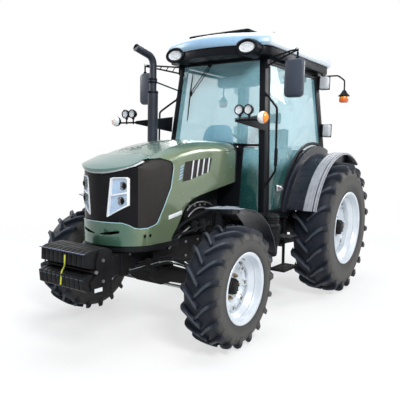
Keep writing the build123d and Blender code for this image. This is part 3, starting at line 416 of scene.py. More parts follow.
def bumpNode(nodes, links, grain, strength, depth, shader):
    bump = nodes.new("ShaderNodeBump")
    bump.inputs["Strength"].default_value = strength
    bump.inputs["Distance"].default_value = depth
    links.new(grain, bump.inputs["Height"])
    links.new(bump.outputs["Normal"], shader.inputs["Normal"])


def surfaceNodes(name):
    # a material with its shader joined to the output, and Object coordinates
    material, nodes, links = nodeMaker(name)
    shader = nodes.new("ShaderNodeBsdfPrincipled")
    links.new(shader.outputs["BSDF"], nodes.new("ShaderNodeOutputMaterial").inputs["Surface"])
    return material, nodes, links, shader, nodes.new("ShaderNodeTexCoord").outputs["Object"]


def finishMaterial(name, look):
    # look: what a user would change in one finish
    material, nodes, links, shader, coordinates = surfaceNodes(name)
    patches = noiseNode(nodes, links, coordinates, look.get("patchScale", 3), 5)
    colour = rampNode(nodes, links, patches, [(0.3, look["dark"]), (0.7, look["light"])])
    if look.get("dust"):
        # dust settles low down and in blotches
        split = nodes.new("ShaderNodeSeparateXYZ")
        links.new(coordinates, split.inputs["Vector"])
        height = rangeNode(nodes, links, split.outputs["Z"], (0.0, look.get("dustHigh", 1.2)),
                           (look["dust"], look.get("dustTop", 0.0)))
        blotch = noiseNode(nodes, links, coordinates, look.get("dustScale", 11), 8, 0.7)
        amount = nodes.new("ShaderNodeMath")
        amount.operation = "MULTIPLY"
        links.new(height, amount.inputs[0])
        links.new(blotch, amount.inputs[1])
        colour = blendNode(nodes, links, amount.outputs["Value"], colour,
                           look.get("dustColour", (0.33, 0.30, 0.26)))
    links.new(colour, shader.inputs["Base Color"])
    shader.inputs["Metallic"].default_value = look.get("metallic", 0.0)
    shader.inputs["Specular IOR Level"].default_value = look.get("specular", 0.5)
    if look.get("coat"):
        shader.inputs["Coat Weight"].default_value = look["coat"]
        shader.inputs["Coat Roughness"].default_value = look.get("coatRoughness", 0.05)
    if look.get("sheen"):
        shader.inputs["Sheen Weight"].default_value = look["sheen"]
        shader.inputs["Sheen Roughness"].default_value = 0.5
    wear = noiseNode(nodes, links, coordinates, look.get("wearScale", 14), 6)
    links.new(rangeNode(nodes, links, wear, (0.3, 0.7), look["roughness"]),
              shader.inputs["Roughness"])
    if look.get("bump"):
        grain = noiseNode(nodes, links, coordinates, look.get("grainScale", 260),
                          look.get("grainDetail", 3), 0.6, look.get("grainStretch"))
        bumpNode(nodes, links, grain, look["bump"], look.get("bumpDepth", 0.001), shader)
    return material


looks = {
    "hoodGreen": {"dark": (0.135, 0.185, 0.108), "light": (0.160, 0.212, 0.128), "patchScale": 1.2,
                  "metallic": 0.30, "roughness": (0.20, 0.28), "coat": 0.6, "coatRoughness": 0.08,
                  "bump": 0.015, "grainScale": 900},
    "roofWhite": {"dark": (0.58, 0.65, 0.71), "light": (0.61, 0.68, 0.74), "patchScale": 1.1,
                  "roughness": (0.26, 0.32), "coat": 0.1, "bump": 0.003, "grainScale": 500},
    "cabBlack": {"dark": (0.004, 0.005, 0.007), "light": (0.008, 0.009, 0.012), "patchScale": 2.5,
                 "roughness": (0.28, 0.42), "specular": 0.08, "bump": 0.03, "grainScale": 420},
    "darkPlastic": {"dark": (0.004, 0.005, 0.006), "light": (0.010, 0.011, 0.013), "patchScale": 4,
                    "roughness": (0.40, 0.58), "specular": 0.08, "bump": 0.25, "grainScale": 700,
                    "dust": 0.05, "dustHigh": 1.4},
    "fenderPlastic": {"dark": (0.006, 0.008, 0.014), "light": (0.012, 0.015, 0.025),
                      "patchScale": 3,
                      "roughness": (0.24, 0.38), "specular": 0.30, "bump": 0.10, "grainScale": 600,
                      "dust": 0.02, "dustHigh": 1.7},
    "chassisDark": {"dark": (0.004, 0.004, 0.005), "light": (0.011, 0.011, 0.013), "patchScale": 5,
                    "roughness": (0.30, 0.52), "specular": 0.08, "bump": 0.15, "grainScale": 300,
                    "dust": 0.06, "dustHigh": 1.1},
    "castingGrey": {"dark": (0.005, 0.005, 0.006), "light": (0.014, 0.015, 0.017), "patchScale": 6,
                    "roughness": (0.30, 0.50), "specular": 0.08, "bump": 0.5, "grainScale": 160,
                    "bumpDepth": 0.0015, "dust": 0.06, "dustHigh": 1.1},
    "rimSilver": {"dark": (0.58, 0.64, 0.70), "light": (0.72, 0.77, 0.82), "patchScale": 4,
                  "metallic": 0.25, "roughness": (0.30, 0.42), "coat": 0.3, "bump": 0.03,
                  "grainScale": 500, "dust": 0.30, "dustHigh": 1.3, "dustScale": 7},
    "tyreRubber": {"dark": (0.014, 0.014, 0.015), "light": (0.030, 0.030, 0.031), "patchScale": 5,
                   "roughness": (0.55, 0.78), "bump": 0.35, "grainScale": 240, "bumpDepth": 0.0012,
                   "dust": 0.55, "dustHigh": 1.9, "dustTop": 0.18, "dustScale": 8,
                   "dustColour": (0.17, 0.16, 0.15)},
    "steelPins": {"dark": (0.30, 0.30, 0.31), "light": (0.46, 0.46, 0.47), "patchScale": 8,
                  "metallic": 0.9, "roughness": (0.30, 0.48), "bump": 0.1, "grainScale": 350},
    "wheelNuts": {"dark": (0.26, 0.20, 0.12), "light": (0.42, 0.34, 0.22), "patchScale": 30,
                  "metallic": 0.7, "roughness": (0.35, 0.5), "bump": 0.1, "grainScale": 350},
    "exhaustMetal": {"dark": (0.008, 0.011, 0.020), "light": (0.020, 0.025, 0.040), "patchScale": 6,
                     "metallic": 0.2, "roughness": (0.30, 0.45), "bump": 0.1, "grainScale": 260},
    "mirrorShell": {"dark": (0.020, 0.028, 0.045), "light": (0.030, 0.040, 0.062), "patchScale": 3,
                    "roughness": (0.30, 0.45), "specular": 0.4, "bump": 0.12, "grainScale": 700},
    "lampHousing": {"dark": (0.44, 0.46, 0.48), "light": (0.54, 0.56, 0.58), "patchScale": 12,
                    "roughness": (0.25, 0.40), "bump": 0.05, "grainScale": 400},
    "handleSteel": {"dark": (0.55, 0.56, 0.58), "light": (0.70, 0.71, 0.73), "patchScale": 12,
                    "metallic": 0.9, "roughness": (0.15, 0.25)},
    "strapYellow": {"dark": (0.42, 0.46, 0.03), "light": (0.60, 0.62, 0.06), "patchScale": 40,
                    "roughness": (0.55, 0.7), "bump": 0.4, "grainScale": 500},
    "dashBlue": {"dark": (0.030, 0.055, 0.120), "light": (0.045, 0.075, 0.160), "patchScale": 5,
                 "roughness": (0.45, 0.6), "bump": 0.15, "grainScale": 800},
    "dashDome": {"dark": (0.12, 0.22, 0.36), "light": (0.16, 0.28, 0.44), "patchScale": 5,
                 "roughness": (0.45, 0.6), "bump": 0.15, "grainScale": 800},
    "seatCloth": {"dark": (0.020, 0.021, 0.024), "light": (0.045, 0.046, 0.050), "patchScale": 30,
                  "roughness": (0.80, 0.92), "sheen": 0.4, "bump": 0.5, "grainScale": 900},
    "maskBlack": {"dark": (0.006, 0.006, 0.007), "light": (0.011, 0.011, 0.012), "patchScale": 5,
                  "roughness": (0.20, 0.30), "specular": 0.08, "bump": 0.02, "grainScale": 500},
    "lampWhite": {"dark": (0.72, 0.74, 0.76), "light": (0.82, 0.84, 0.86), "patchScale": 9,
                  "roughness": (0.20, 0.30), "coat": 0.5},
    "reflectorBlue": {"dark": (0.26, 0.42, 0.62), "light": (0.40, 0.56, 0.76), "patchScale": 14,
                      "metallic": 0.2, "roughness": (0.15, 0.25)},
    "meshBrown": {"dark": (0.012, 0.011, 0.010), "light": (0.034, 0.031, 0.029), "patchScale": 420,
                  "roughness": (0.40, 0.60), "specular": 0.2, "bump": 0.8, "grainScale": 900,
                  "bumpDepth": 0.002},
    "sealGrey": {"dark": (0.14, 0.17, 0.18), "light": (0.22, 0.26, 0.27), "patchScale": 12,
                 "roughness": (0.4, 0.55), "bump": 0.05, "grainScale": 500},
    # painted highlight along the mask opening's edge
    "trimBlue": {"dark": (0.30, 0.50, 0.56), "light": (0.42, 0.62, 0.68), "patchScale": 6,
                 "roughness": (0.18, 0.28), "coat": 0.4},
    # painted shade and reflection: the teal of the hood's front lip
    "paintedShadeTeal": {"dark": (0.060, 0.150, 0.130), "light": (0.085, 0.185, 0.165), "patchScale": 2,
                 "metallic": 0.2, "roughness": (0.18, 0.26), "coat": 0.8, "coatRoughness": 0.04},
    # painted highlight on the weights' edges
    "paintedHighlightBlue": {"dark": (0.05, 0.07, 0.12), "light": (0.09, 0.12, 0.19), "patchScale": 8,
                    "roughness": (0.3, 0.45), "bump": 0.05, "grainScale": 400},
    "lipGrey": {"dark": (0.25, 0.26, 0.29), "light": (0.36, 0.37, 0.41), "patchScale": 12,
                "roughness": (0.25, 0.40), "bump": 0.05, "grainScale": 500},
    "amberLens": {"dark": (0.72, 0.20, 0.010), "light": (0.85, 0.30, 0.020), "patchScale": 60,
                  "roughness": (0.12, 0.2), "coat": 0.6, "bump": 0.3, "grainScale": 180},
    "beaconRed": {"dark": (0.62, 0.085, 0.010), "light": (0.74, 0.12, 0.014), "patchScale": 60,
                  "roughness": (0.12, 0.2), "coat": 0.6, "bump": 0.3, "grainScale": 180},
    "redLens": {"dark": (0.40, 0.012, 0.008), "light": (0.52, 0.02, 0.012), "patchScale": 60,
                "roughness": (0.12, 0.2), "coat": 0.6, "bump": 0.3, "grainScale": 180},
}
finishes = {name: finishMaterial(name, look) for name, look in looks.items()}


def paintedFacingLight(material, tints):
    # painted light and shade: another tone where the paint faces a way: name of the axis, from, to,
    # share and tone
    nodes, links = material.node_tree.nodes, material.node_tree.links
    shader = next(node for node in nodes if node.type == "BSDF_PRINCIPLED")
    colour = shader.inputs["Base Color"].links[0].from_socket
    facing = nodes.new("ShaderNodeSeparateXYZ")
    links.new(nodes.new("ShaderNodeTexCoord").outputs["Normal"], facing.inputs["Vector"])
    for axis, low, high, amount, tone in tints:
        share = rangeNode(nodes, links, facing.outputs[axis], (low, high), (0, amount), smooth=True)
        colour = blendNode(nodes, links, share, colour, tone)
    links.new(colour, shader.inputs["Base Color"])


# painted shade: the roof's front faces blue as in shade; painted light: its top faces paler
paintedFacingLight(finishes["roofWhite"], [("Y", -0.25, -0.80, 1.0, (0.27, 0.44, 0.62)),
                                   ("Z", 0.35, 0.90, 1.0, (0.72, 0.76, 0.79))])
# painted reflection: the hood's top faces teal like the sky they mirror; painted shade: its front faces
# darker teal
paintedFacingLight(finishes["hoodGreen"], [("Z", 0.45, 0.98, 0.75, (0.085, 0.170, 0.150)),
                                   ("Y", -0.35, -0.85, 0.85, (0.040, 0.120, 0.088))])


def clearMaterial(name, look):
    # glass that lets light through: a mix of transparent and a glossy coat
    material, nodes, links, shader, coordinates = surfaceNodes(name)
    streaks = noiseNode(nodes, links, coordinates, look.get("streakScale", 2), 4)
    colour = rampNode(nodes, links, streaks, [(0.3, look["dark"]), (0.7, look["light"])])
    cover = rangeNode(nodes, links, streaks, result=look["alpha"])
    if look.get("low"):
        # painted reflection of dark surroundings: the panes darken to a deep teal towards the floor,
        # with patches
        split = nodes.new("ShaderNodeSeparateXYZ")
        links.new(coordinates, split.inputs["Vector"])
        patchHeight = 0.55
        patches = noiseNode(nodes, links, coordinates, 3.2, 5, 0.6)
        height = nodes.new("ShaderNodeMath")
        height.operation = "MULTIPLY_ADD"
        height.inputs[1].default_value = patchHeight
        links.new(patches, height.inputs[0])
        links.new(split.outputs["Z"], height.inputs[2])
        share = rangeNode(nodes, links, height.outputs["Value"],
                          [look[key] + patchHeight / 2 for key in ("lowFrom", "lowTo")],
                          smooth=True)
        colour = blendNode(nodes, links, share, look["low"], colour)
        depth = nodes.new("ShaderNodeMix")
        links.new(share, depth.inputs["Factor"])
        depth.inputs[2].default_value = look["lowAlpha"]
        links.new(cover, depth.inputs[3])
        cover = depth.outputs[0]
    links.new(colour, shader.inputs["Base Color"])
    links.new(cover, shader.inputs["Alpha"])
    shader.inputs["Roughness"].default_value = look.get("roughness", 0.03)
    shader.inputs["Specular IOR Level"].default_value = look.get("specular", 0.8)
    shader.inputs["Coat Weight"].default_value = look.get("coat", 0.5)
    shader.inputs["Coat Roughness"].default_value = 0.02
    return material


# the low deep teal is a painted reflection
finishes["clearGlass"] = clearMaterial("clearGlass", {
    "dark": (0.36, 0.78, 0.90), "light": (0.42, 0.85, 0.95), "alpha": (0.24, 0.28),
    "streakScale": 1.2,
    "low": (0.016, 0.075, 0.072), "lowAlpha": 0.80, "lowFrom": 1.36, "lowTo": 1.76})
finishes["lampLens"] = clearMaterial("lampLens", {
    "dark": (0.80, 0.86, 0.90), "light": (0.88, 0.92, 0.95), "alpha": (0.08, 0.14),
    "streakScale": 30,
    "specular": 0.3, "coat": 0.0})
finishes["mirrorGlass"] = finishMaterial("mirrorGlass", {
    "dark": (0.62, 0.65, 0.67), "light": (0.70, 0.72, 0.74), "metallic": 1.0,
    "roughness": (0.02, 0.06)})

# every CAD node starts with the finish of its slot
slotFinish = {
    "hood_green": "hoodGreen", "roof_white": "roofWhite", "cab_black": "cabBlack",
    "dark_plastic": "darkPlastic", "chassis_dark": "chassisDark", "casting_grey": "castingGrey",
    "rim_silver": "rimSilver", "tyre_rubber": "tyreRubber", "clear_glass": "clearGlass",
    "mirror_glass": "darkPlastic", "lamp_lens": "lampWhite", "amber_lens": "amberLens",
    "steel_pins": "steelPins", "exhaust_metal": "exhaustMetal", "seat_cloth": "seatCloth"}
for entry in frame["record"]["subparts"]:
    node = frame["nodes"][entry["node"]]
    node.data.materials.clear()
    node.data.materials.append(finishes[slotFinish[entry["material_slot"]]])
# painted reflection: the front fenders' top faces turn pale grey
finishes["frontFender"] = finishMaterial("frontFender", looks["fenderPlastic"])
paintedFacingLight(finishes["frontFender"], [("Z", 0.35, 0.95, 1.0, (0.27, 0.30, 0.35))])
for side in ("left", "right"):
    frame["nodes"][f"rear_fender_{side}"].data.materials[0] = finishes["fenderPlastic"]
    frame["nodes"][f"front_fender_{side}"].data.materials[0] = finishes["frontFender"]
print("finishes ready")


# Floor, lights and camera. The floor's glow grows from the tractor outward over the fade's metres.
stageLook = {"floor": (0.80, 0.80, 0.80), "fade": (2.2, 6.5), "glow": (0.66, 1.0),
             "room": (0.80, 0.90, 1.0), "roomStrength": 0.30}


def backdropRays(nodes, links):
    # the camera, metal and glass see the white backdrop; the light on matte faces is the room's
    rays = nodes.new("ShaderNodeLightPath")
    seen = rays.outputs["Is Camera Ray"]
    for kind in ("Is Glossy Ray", "Is Transmission Ray"):
        either = nodes.new("ShaderNodeMath")
        either.operation = "MAXIMUM"
        links.new(seen, either.inputs[0])
        links.new(rays.outputs[kind], either.inputs[1])
        seen = either.outputs["Value"]
    return seen


def makeStage():
    clearSelection()
    bpy.ops.mesh.primitive_plane_add(size=60, location=(0, 0, -0.002))
    floor = applyPlace(named("floor"))
    material, nodes, links = nodeMaker("paleFloor")
    output = nodes.new("ShaderNodeOutputMaterial")
    matte = nodes.new("ShaderNodeBsdfDiffuse")
    matte.inputs["Color"].default_value = (*stageLook["floor"], 1)
    glow = nodes.new("ShaderNodeEmission")
    glow.inputs["Color"].default_value = (1, 1, 1, 1)
    # far away the floor runs into the white backdrop
    coordinates = nodes.new("ShaderNodeTexCoord").outputs["Object"]
    distance = nodes.new("ShaderNodeVectorMath")
    distance.operation = "LENGTH"
    links.new(coordinates, distance.inputs[0])
    fade = rangeNode(nodes, links, distance.outputs["Value"], stageLook["fade"], stageLook["glow"])
    share = nodes.new("ShaderNodeMath")
    share.operation = "MULTIPLY"
    links.new(fade, share.inputs[1])
    links.new(backdropRays(nodes, links), share.inputs[0])
    mix = nodes.new("ShaderNodeMixShader")
    links.new(share.outputs["Value"], mix.inputs["Fac"])
    links.new(matte.outputs["BSDF"], mix.inputs[1])
    links.new(glow.outputs["Emission"], mix.inputs[2])
    links.new(mix.outputs["Shader"], output.inputs["Surface"])
    floor.data.materials.append(material)

    world = bpy.data.worlds.new("studio")
    bpy.context.scene.world = world
    world.use_nodes = True
    nodes, links = world.node_tree.nodes, world.node_tree.links
    nodes.clear()
    output = nodes.new("ShaderNodeOutputWorld")
    backdrop = nodes.new("ShaderNodeBackground")
    backdrop.inputs["Color"].default_value = (1, 1, 1, 1)
    room = nodes.new("ShaderNodeBackground")
    room.inputs["Color"].default_value = (*stageLook["room"], 1)
    room.inputs["Strength"].default_value = stageLook["roomStrength"]
    mix = nodes.new("ShaderNodeMixShader")
    links.new(backdropRays(nodes, links), mix.inputs["Fac"])
    links.new(room.outputs["Background"], mix.inputs[1])
    links.new(backdrop.outputs["Background"], mix.inputs[2])
    links.new(mix.outputs["Shader"], output.inputs["Surface"])


def makeLight(name, place, target, power, size):
    clearSelection()
    direction = Vector(target) - Vector(place)
    bpy.ops.object.light_add(type="AREA", location=place,
                             rotation=direction.to_track_quat("-Z", "Y").to_euler())
    lamp = bpy.context.active_object
    lamp.name = name
    lamp.data.energy = power
    lamp.data.shape = "RECTANGLE"
    lamp.data.size, lamp.data.size_y = size


def makeCamera():
    # three-quarter front view from the tractor's left, from eye height
    view = {"place": (2.977, -4.604, 1.630), "yaw": 35.861, "pitch": 7.753, "roll": 1.078,
            "lens": 44.96, "shift": (0.0213, 0.0475)}
    yaw, pitch, roll = (radians(view[key]) for key in ("yaw", "pitch", "roll"))
    back = Vector((sin(yaw) * cos(pitch), -cos(yaw) * cos(pitch), sin(pitch)))
    right = (-back).cross(Vector((0, 0, 1))).normalized()
    up = right.cross(-back)
    across = right * cos(roll) + up * sin(roll)
    upright = up * cos(roll) - right * sin(roll)
    clearSelection()
    bpy.ops.object.camera_add(location=view["place"])
    camera = bpy.context.active_object
    turn = Matrix((across, upright, back)).transposed()
    camera.rotation_euler = turn.to_euler()
    camera.data.lens = view["lens"]
    camera.data.shift_x, camera.data.shift_y = view["shift"]
    camera.data.clip_end = 100
    bpy.context.scene.camera = camera


makeStage()
makeLight("keyLight", (5.5, -4.5, 6.5), (0, -0.3, 1.0), 640, (2.4, 2.4))
makeLight("fillLight", (-7.0, -1.5, 5.0), (0, -0.5, 1.0), 190, (3, 3))
makeLight("topLight", (0.0, -0.5, 7.5), (0, 0, 1.0), 260, (4, 4))
makeLight("backLight", (-4.5, 7.0, 5.0), (0, 1, 1.2), 170, (3, 3))
makeLight("edgeLight", (3.9, 5.2, 4.2), (0.3, -0.6, 1.5), 150, (2.6, 2.0))
makeCamera()
bpy.context.scene.view_settings.view_transform = "Standard"
print("stage ready")


def rubberMaterial(name, centre, bands):
    # rubber whose tone follows the distance from the axle: paler sidewall, painted shade darkening the
    # tread, painted highlight on the lug tips
    material, nodes, links, shader, coordinates = surfaceNodes(name)
    flat = nodes.new("ShaderNodeMapping")
    flat.vector_type = "POINT"
    flat.inputs["Location"].default_value = (0, -centre[1], -centre[2])
    flat.inputs["Scale"].default_value = (0, 1, 1)
    links.new(coordinates, flat.inputs["Vector"])
    distance = nodes.new("ShaderNodeVectorMath")
    distance.operation = "LENGTH"
    links.new(flat.outputs["Vector"], distance.inputs[0])
    share = rangeNode(nodes, links, distance.outputs["Value"], (bands["from"], bands["to"]))
    base = rampNode(nodes, links, share, bands["tones"])
    grime = noiseNode(nodes, links, coordinates, 9, 8, 0.72)
    amount = rangeNode(nodes, links, grime, (0.42, 0.75), (0, bands["dust"]))
    dusty = blendNode(nodes, links, amount, base, (0.10, 0.10, 0.10))
    links.new(dusty, shader.inputs["Base Color"])
    shine = noiseNode(nodes, links, coordinates, 22, 6)
    links.new(rangeNode(nodes, links, shine, result=(0.42, 0.72)), shader.inputs["Roughness"])
    shader.inputs["Specular IOR Level"].default_value = 0.22
    grain = noiseNode(nodes, links, coordinates, 240, 3, 0.6)
    bumpNode(nodes, links, grain, 0.3, 0.001, shader)
    return material


# Wheels: each kind is made once on the left and mirrored.
wheelKinds = {
    "front": {
        "centre": (0.856, frontAxleY, 0.515), "radius": 0.515, "width": 0.345, "seat": 0.285,
        "lugs": 18, "lugHeight": 0.036, "lugWidth": 0.036, "lead": 15.5,
        "flange": 0.305, "half": 0.157, "wellRadius": 0.222, "discAt": 0.0, "hubRadius": 0.070,
        "hubOut": 0.062, "boltCircle": 0.104, "bolts": 8, "brackets": 8},
    "rear": {
        "centre": (0.864, rearAxleY, 0.765), "radius": 0.765, "width": 0.430, "seat": 0.405,
        "lugs": 20, "lugHeight": 0.042, "lugWidth": 0.044, "lead": 13.0,
        "flange": 0.425, "half": 0.196, "wellRadius": 0.330, "discAt": 0.010, "hubRadius": 0.088,
        "hubOut": 0.125, "boltCircle": 0.137, "bolts": 10, "brackets": 8},
}


def makeTyre(kind, look):
    centre, half = Vector(look["centre"]), look["width"] / 2
    tread = look["radius"] - look["lugHeight"]
    seat = look["seat"]
    wall = tread - seat
    profile = [(0.00, 0.80), (0.03, 0.86), (0.10, 0.885), (0.13, 0.905), (0.17, 0.90),
               (0.20, 0.925),
               (0.42, 0.955), (0.60, 0.95), (0.66, 0.955), (0.70, 0.935), (0.83, 0.87),
               (0.92, 0.76),
               (0.975, 0.55), (0.995, 0.28)]
    side = [(seat + wall * up, half * out) for up, out in profile]
    ring = side + [(tread, 0.0)] + [(r, -out) for r, out in reversed(side)] + [side[0]]
    carcass = turned(f"{kind}Carcass", centre, (1, 0, 0), ring, 96)

    # one bar, from its nose at the middle of the tread round to the shoulder
    sections = []
    for along, drop, thick in ((-0.05, 0.0, 0.88), (0.12, 0.0, 0.94), (0.34, 0.001, 1.0),
                               (0.56, 0.004, 1.06), (0.76, 0.010, 1.14), (0.90, 0.022, 1.22),
                               (0.975, 0.048, 1.28)):
        lag = radians(look["lead"]) * (0.5 - (1 - (1 - max(along, 0)) ** 1.7) + along * -0.04)
        top = look["radius"] - drop
        low = tread - 0.035 - drop * 0.9
        thickness = look["lugWidth"] * thick / look["radius"]
        out = half * along
        corners = []
        for radius, spread in ((top, -0.40), (top, 0.40), (low, 0.80), (low, -0.80)):
            turn = lag + spread * thickness
            corners.append(centre + Vector((out, -radius * sin(turn), radius * cos(turn))))
        sections.append(corners)
    bar = loft(f"{kind}Bar", sections)
    bevelled(bar, 0.0045, 2, 40)
    handed = copied(bar, Matrix.Translation((2 * centre.x, 0, 0)) @ Matrix.Scale(-1, 4, (1, 0, 0)))
    pitch = 2 * pi / look["lugs"]
    handed.data.transform(aboutAxle(centre, pitch / 2))
    bars = [copied(each, aboutAxle(centre, number * pitch))
            for each in (bar, handed) for number in range(1, look["lugs"])]
    tyre = joined(f"{kind}TyreLeft", [carcass, bar, handed] + bars)
    # painted shade: the dark blue tread band; painted highlight: the paler blue lug tips
    tones = [(0.0, (0.030, 0.030, 0.031)), (0.40, (0.075, 0.072, 0.069)),
             (0.70, (0.055, 0.053, 0.052)),
             (0.80, (0.007, 0.010, 0.018)), (0.955, (0.008, 0.012, 0.022)),
             (0.975, (0.050, 0.060, 0.078)),
             (1.0, (0.040, 0.050, 0.066))]
    finishes[f"{kind}Rubber"] = rubberMaterial(f"{kind}Rubber", centre, {
        "from": seat, "to": look["radius"], "tones": tones, "dust": 0.16})
    dress(tyre, f"{kind}Rubber", f"{kind}_wheel_left", "tyre_rubber", f"{kind}_tyre_left", angle=28)
    otherSide(tyre, f"{kind}TyreRight", f"{kind}_wheel_right", f"{kind}_tyre_right")


def hexBolt(name, place, radius, height, axis=(1, 0, 0)):
    place, axis = Vector(place), Vector(axis).normalized()
    washer = drum(name + "Washer", place, place + axis * height * 0.18, radius * 1.35, 20)
    head = drum(name + "Head", place + axis * height * 0.18, place + axis * height * 0.75, radius,
                6,
                bevel=radius * 0.12)
    stud = drum(name + "Stud", place + axis * height * 0.7, place + axis * height, radius * 0.5, 12)
    return joined(name, [washer, head, stud])


def makeRim(kind, look):
    centre = Vector(look["centre"])
    flange, half, well, disc = (look[key] for key in ("flange", "half", "wellRadius", "discAt"))
    bead = flange - 0.022
    barrel = turned(f"{kind}Barrel", centre, (1, 0, 0), [
        (flange, -half), (flange, -half + 0.008), (bead, -half + 0.013),
        (bead - 0.003, -half + 0.045),
        (well + 0.007, -half + 0.078), (well + 0.007, half - 0.104), (bead - 0.014, half - 0.064),
        (bead - 0.012, half - 0.058), (bead - 0.003, half - 0.045), (bead, half - 0.013),
        (flange, half - 0.008), (flange + 0.001, half - 0.003), (flange - 0.004, half + 0.001),
        (flange - 0.011, half), (bead - 0.008, half - 0.006), (bead - 0.011, half - 0.040),
        (bead - 0.019, half - 0.056), (bead - 0.022, half - 0.064), (bead - 0.020, half - 0.070),
        (well, half - 0.108), (well, -half + 0.076), (bead - 0.011, -half + 0.042),
        (bead - 0.008, -half + 0.006), (flange - 0.010, -half), (flange, -half)], 96)
    bevelled(barrel, 0.002, 2, 25)
    hubRadius = look["boltCircle"] + 0.030
    plateRing = turned(f"{kind}Disc", centre, (1, 0, 0), [
        (well - 0.018, disc + 0.020), (well - 0.018, disc + 0.031), (well - 0.030, disc + 0.033),
        (well - 0.052, disc + 0.031), (hubRadius + 0.016, disc), (hubRadius, disc - 0.003),
        (look["hubRadius"] - 0.01, disc - 0.003), (look["hubRadius"] - 0.01, disc - 0.014),
        (hubRadius + 0.010, disc - 0.014), (well - 0.055, disc + 0.020),
        (well - 0.018, disc + 0.020)], 80)
    bevelled(plateRing, 0.0025, 2, 25)
    low = centre + Vector((disc + 0.004, -0.032, well - 0.064))
    high = centre + Vector((disc + 0.044, 0.032, well + 0.001))
    bracket = block(f"{kind}Bracket", low, high, 0.006)
    notch = block("notch", low + Vector((0.012, 0.010, -0.01)), low + Vector((0.05, 0.054, 0.045)))
    carved(bracket, notch)
    stud = hexBolt(f"{kind}BracketBolt", centre + Vector((disc + 0.016, 0, well - 0.036)), 0.013,
                   0.030)
    brackets, studs = [bracket], [stud]
    for number in range(1, look["brackets"]):
        turn = aboutAxle(centre, number * 2 * pi / look["brackets"])
        brackets.append(copied(bracket, turn))
        studs.append(copied(stud, turn))
    rim = joined(f"{kind}RimLeft", [barrel, plateRing] + brackets)
    dress(rim, "rimSilver", f"{kind}_wheel_left", "rim_silver", f"{kind}_rim_left", angle=30)
    otherSide(rim, f"{kind}RimRight", f"{kind}_wheel_right", f"{kind}_rim_right")

    # hub drum with its cover bolts, and the nuts that hold the disc
    radius, reach = look["hubRadius"], look["hubOut"]
    hub = turned(f"{kind}HubLeft", centre, (1, 0, 0), [
        (0.0, disc - 0.05), (radius + 0.045, disc - 0.05), (radius + 0.045, disc - 0.015),
        (radius - 0.006, disc - 0.014), (radius - 0.002, disc + 0.004), (radius, disc + 0.012),
        (radius, reach - 0.024), (radius - 0.006, reach - 0.014), (radius - 0.018, reach - 0.010),
        (radius - 0.030, reach - 0.008), (radius - 0.034, reach), (0.0, reach)], 48)
    bevelled(hub, 0.002, 2, 30)
    cover = hexBolt(f"{kind}Cover", centre + Vector((reach - 0.013, 0, radius - 0.016)), 0.007,
                    0.012)
    covers = [copied(cover, aboutAxle(centre, number * pi / 4)) for number in range(1, 8)]
    hub = joined(f"{kind}HubLeft", [hub, cover] + covers)
    dress(hub, "chassisDark", f"{kind}_wheel_left", "chassis_dark", angle=30)
    otherSide(hub, f"{kind}HubRight", f"{kind}_wheel_right")
    nut = hexBolt(f"{kind}Nut", centre + Vector((disc - 0.003, 0, look["boltCircle"])), 0.015,
                  0.034)
    nuts = [copied(nut, aboutAxle(centre, number * 2 * pi / look["bolts"]))
            for number in range(1, look["bolts"])]
    valve = tube("valve", [centre + Vector((half - 0.075, 0.02, bead - 0.030)),
                           centre + Vector((half - 0.045, 0.02, bead - 0.045)),
                           centre + Vector((half - 0.030, 0.02, bead - 0.048))], 0.005, 8)
    fixings = joined(f"{kind}WheelNutsLeft", [nut, valve] + nuts + studs)
    dress(fixings, "wheelNuts", f"{kind}_wheel_left", "steel_pins", angle=30)
    otherSide(fixings, f"{kind}WheelNutsRight", f"{kind}_wheel_right")


for kind, look in wheelKinds.items():
    makeTyre(kind, look)
    makeRim(kind, look)
    print(kind, "wheels ready")


# Hood: one skin drawn from stations along the tractor, cut for the mask, vents and lamps.
hoodLook = {
    "half": 0.355, "rear": 1.405, "noseStart": 2.70, "nose": 2.990, "floor": 0.860, "wall": 0.009,
    "crown": [(1.405, 1.740), (2.0, 1.734), (2.3, 1.692), (2.6, 1.616), (2.8, 1.550), (2.93, 1.497),
              (2.99, 1.462)],
    "under": [(2.46, 0.84), (2.46, 0.887), (2.372, 0.985), (2.300, 1.090), (2.262, 1.140),
              (2.222, 1.172),
              (2.160, 1.200), (2.045, 1.229), (1.36, 1.341), (1.36, 0.84)],
    "mask": [(3.06, 1.046), (2.93, 1.046), (2.895, 1.028), (2.865, 1.006), (2.83, 0.998),
             (2.76, 1.000),
             (2.665, 1.024), (2.640, 1.042), (2.565, 1.155), (2.470, 1.316), (2.436, 1.480),
             (2.440, 1.510), (2.480, 1.543), (2.590, 1.568), (2.680, 1.562), (2.760, 1.545),
             (2.890, 1.500), (3.06, 1.415)],
    "vent": [(2.315, 1.362), (2.280, 1.534), (1.880, 1.572), (1.862, 1.560), (1.900, 1.440),
             (2.200, 1.375)],
    "lamp": [(0.128, 1.404), (0.150, 1.412), (0.250, 1.416), (0.262, 1.404), (0.262, 1.190),
             (0.100, 1.090),
             (0.094, 1.098)],
}


def follow(table, at):
    # height at a place on a smooth line through (place, height) points
    last = len(table) - 1
    slopes = []
    for number in range(last + 1):
        before, after = table[max(0, number - 1)], table[min(last, number + 1)]
        slopes.append((after[1] - before[1]) / (after[0] - before[0]))
    for number in range(last):
        (start, low), (end, high) = table[number], table[number + 1]
        if at <= end or number == last - 1:
            span = end - start
            part = (at - start) / span
            return ((2 * part ** 3 - 3 * part ** 2 + 1) * low + (part ** 3 - 2 * part ** 2 + part) * span
                    * slopes[number] + (3 * part ** 2 - 2 * part ** 3) * high
                    + (part ** 3 - part ** 2) * span * slopes[number + 1])


def crownDrop(x):
    # how far the hood's top lies below its middle line at x
    if x < 0.255:
        return 0.016 * (x / 0.255) ** 2
    return 0.1261 - sqrt(max(0.0, 0.11064 ** 2 - (x - 0.2447) ** 2))


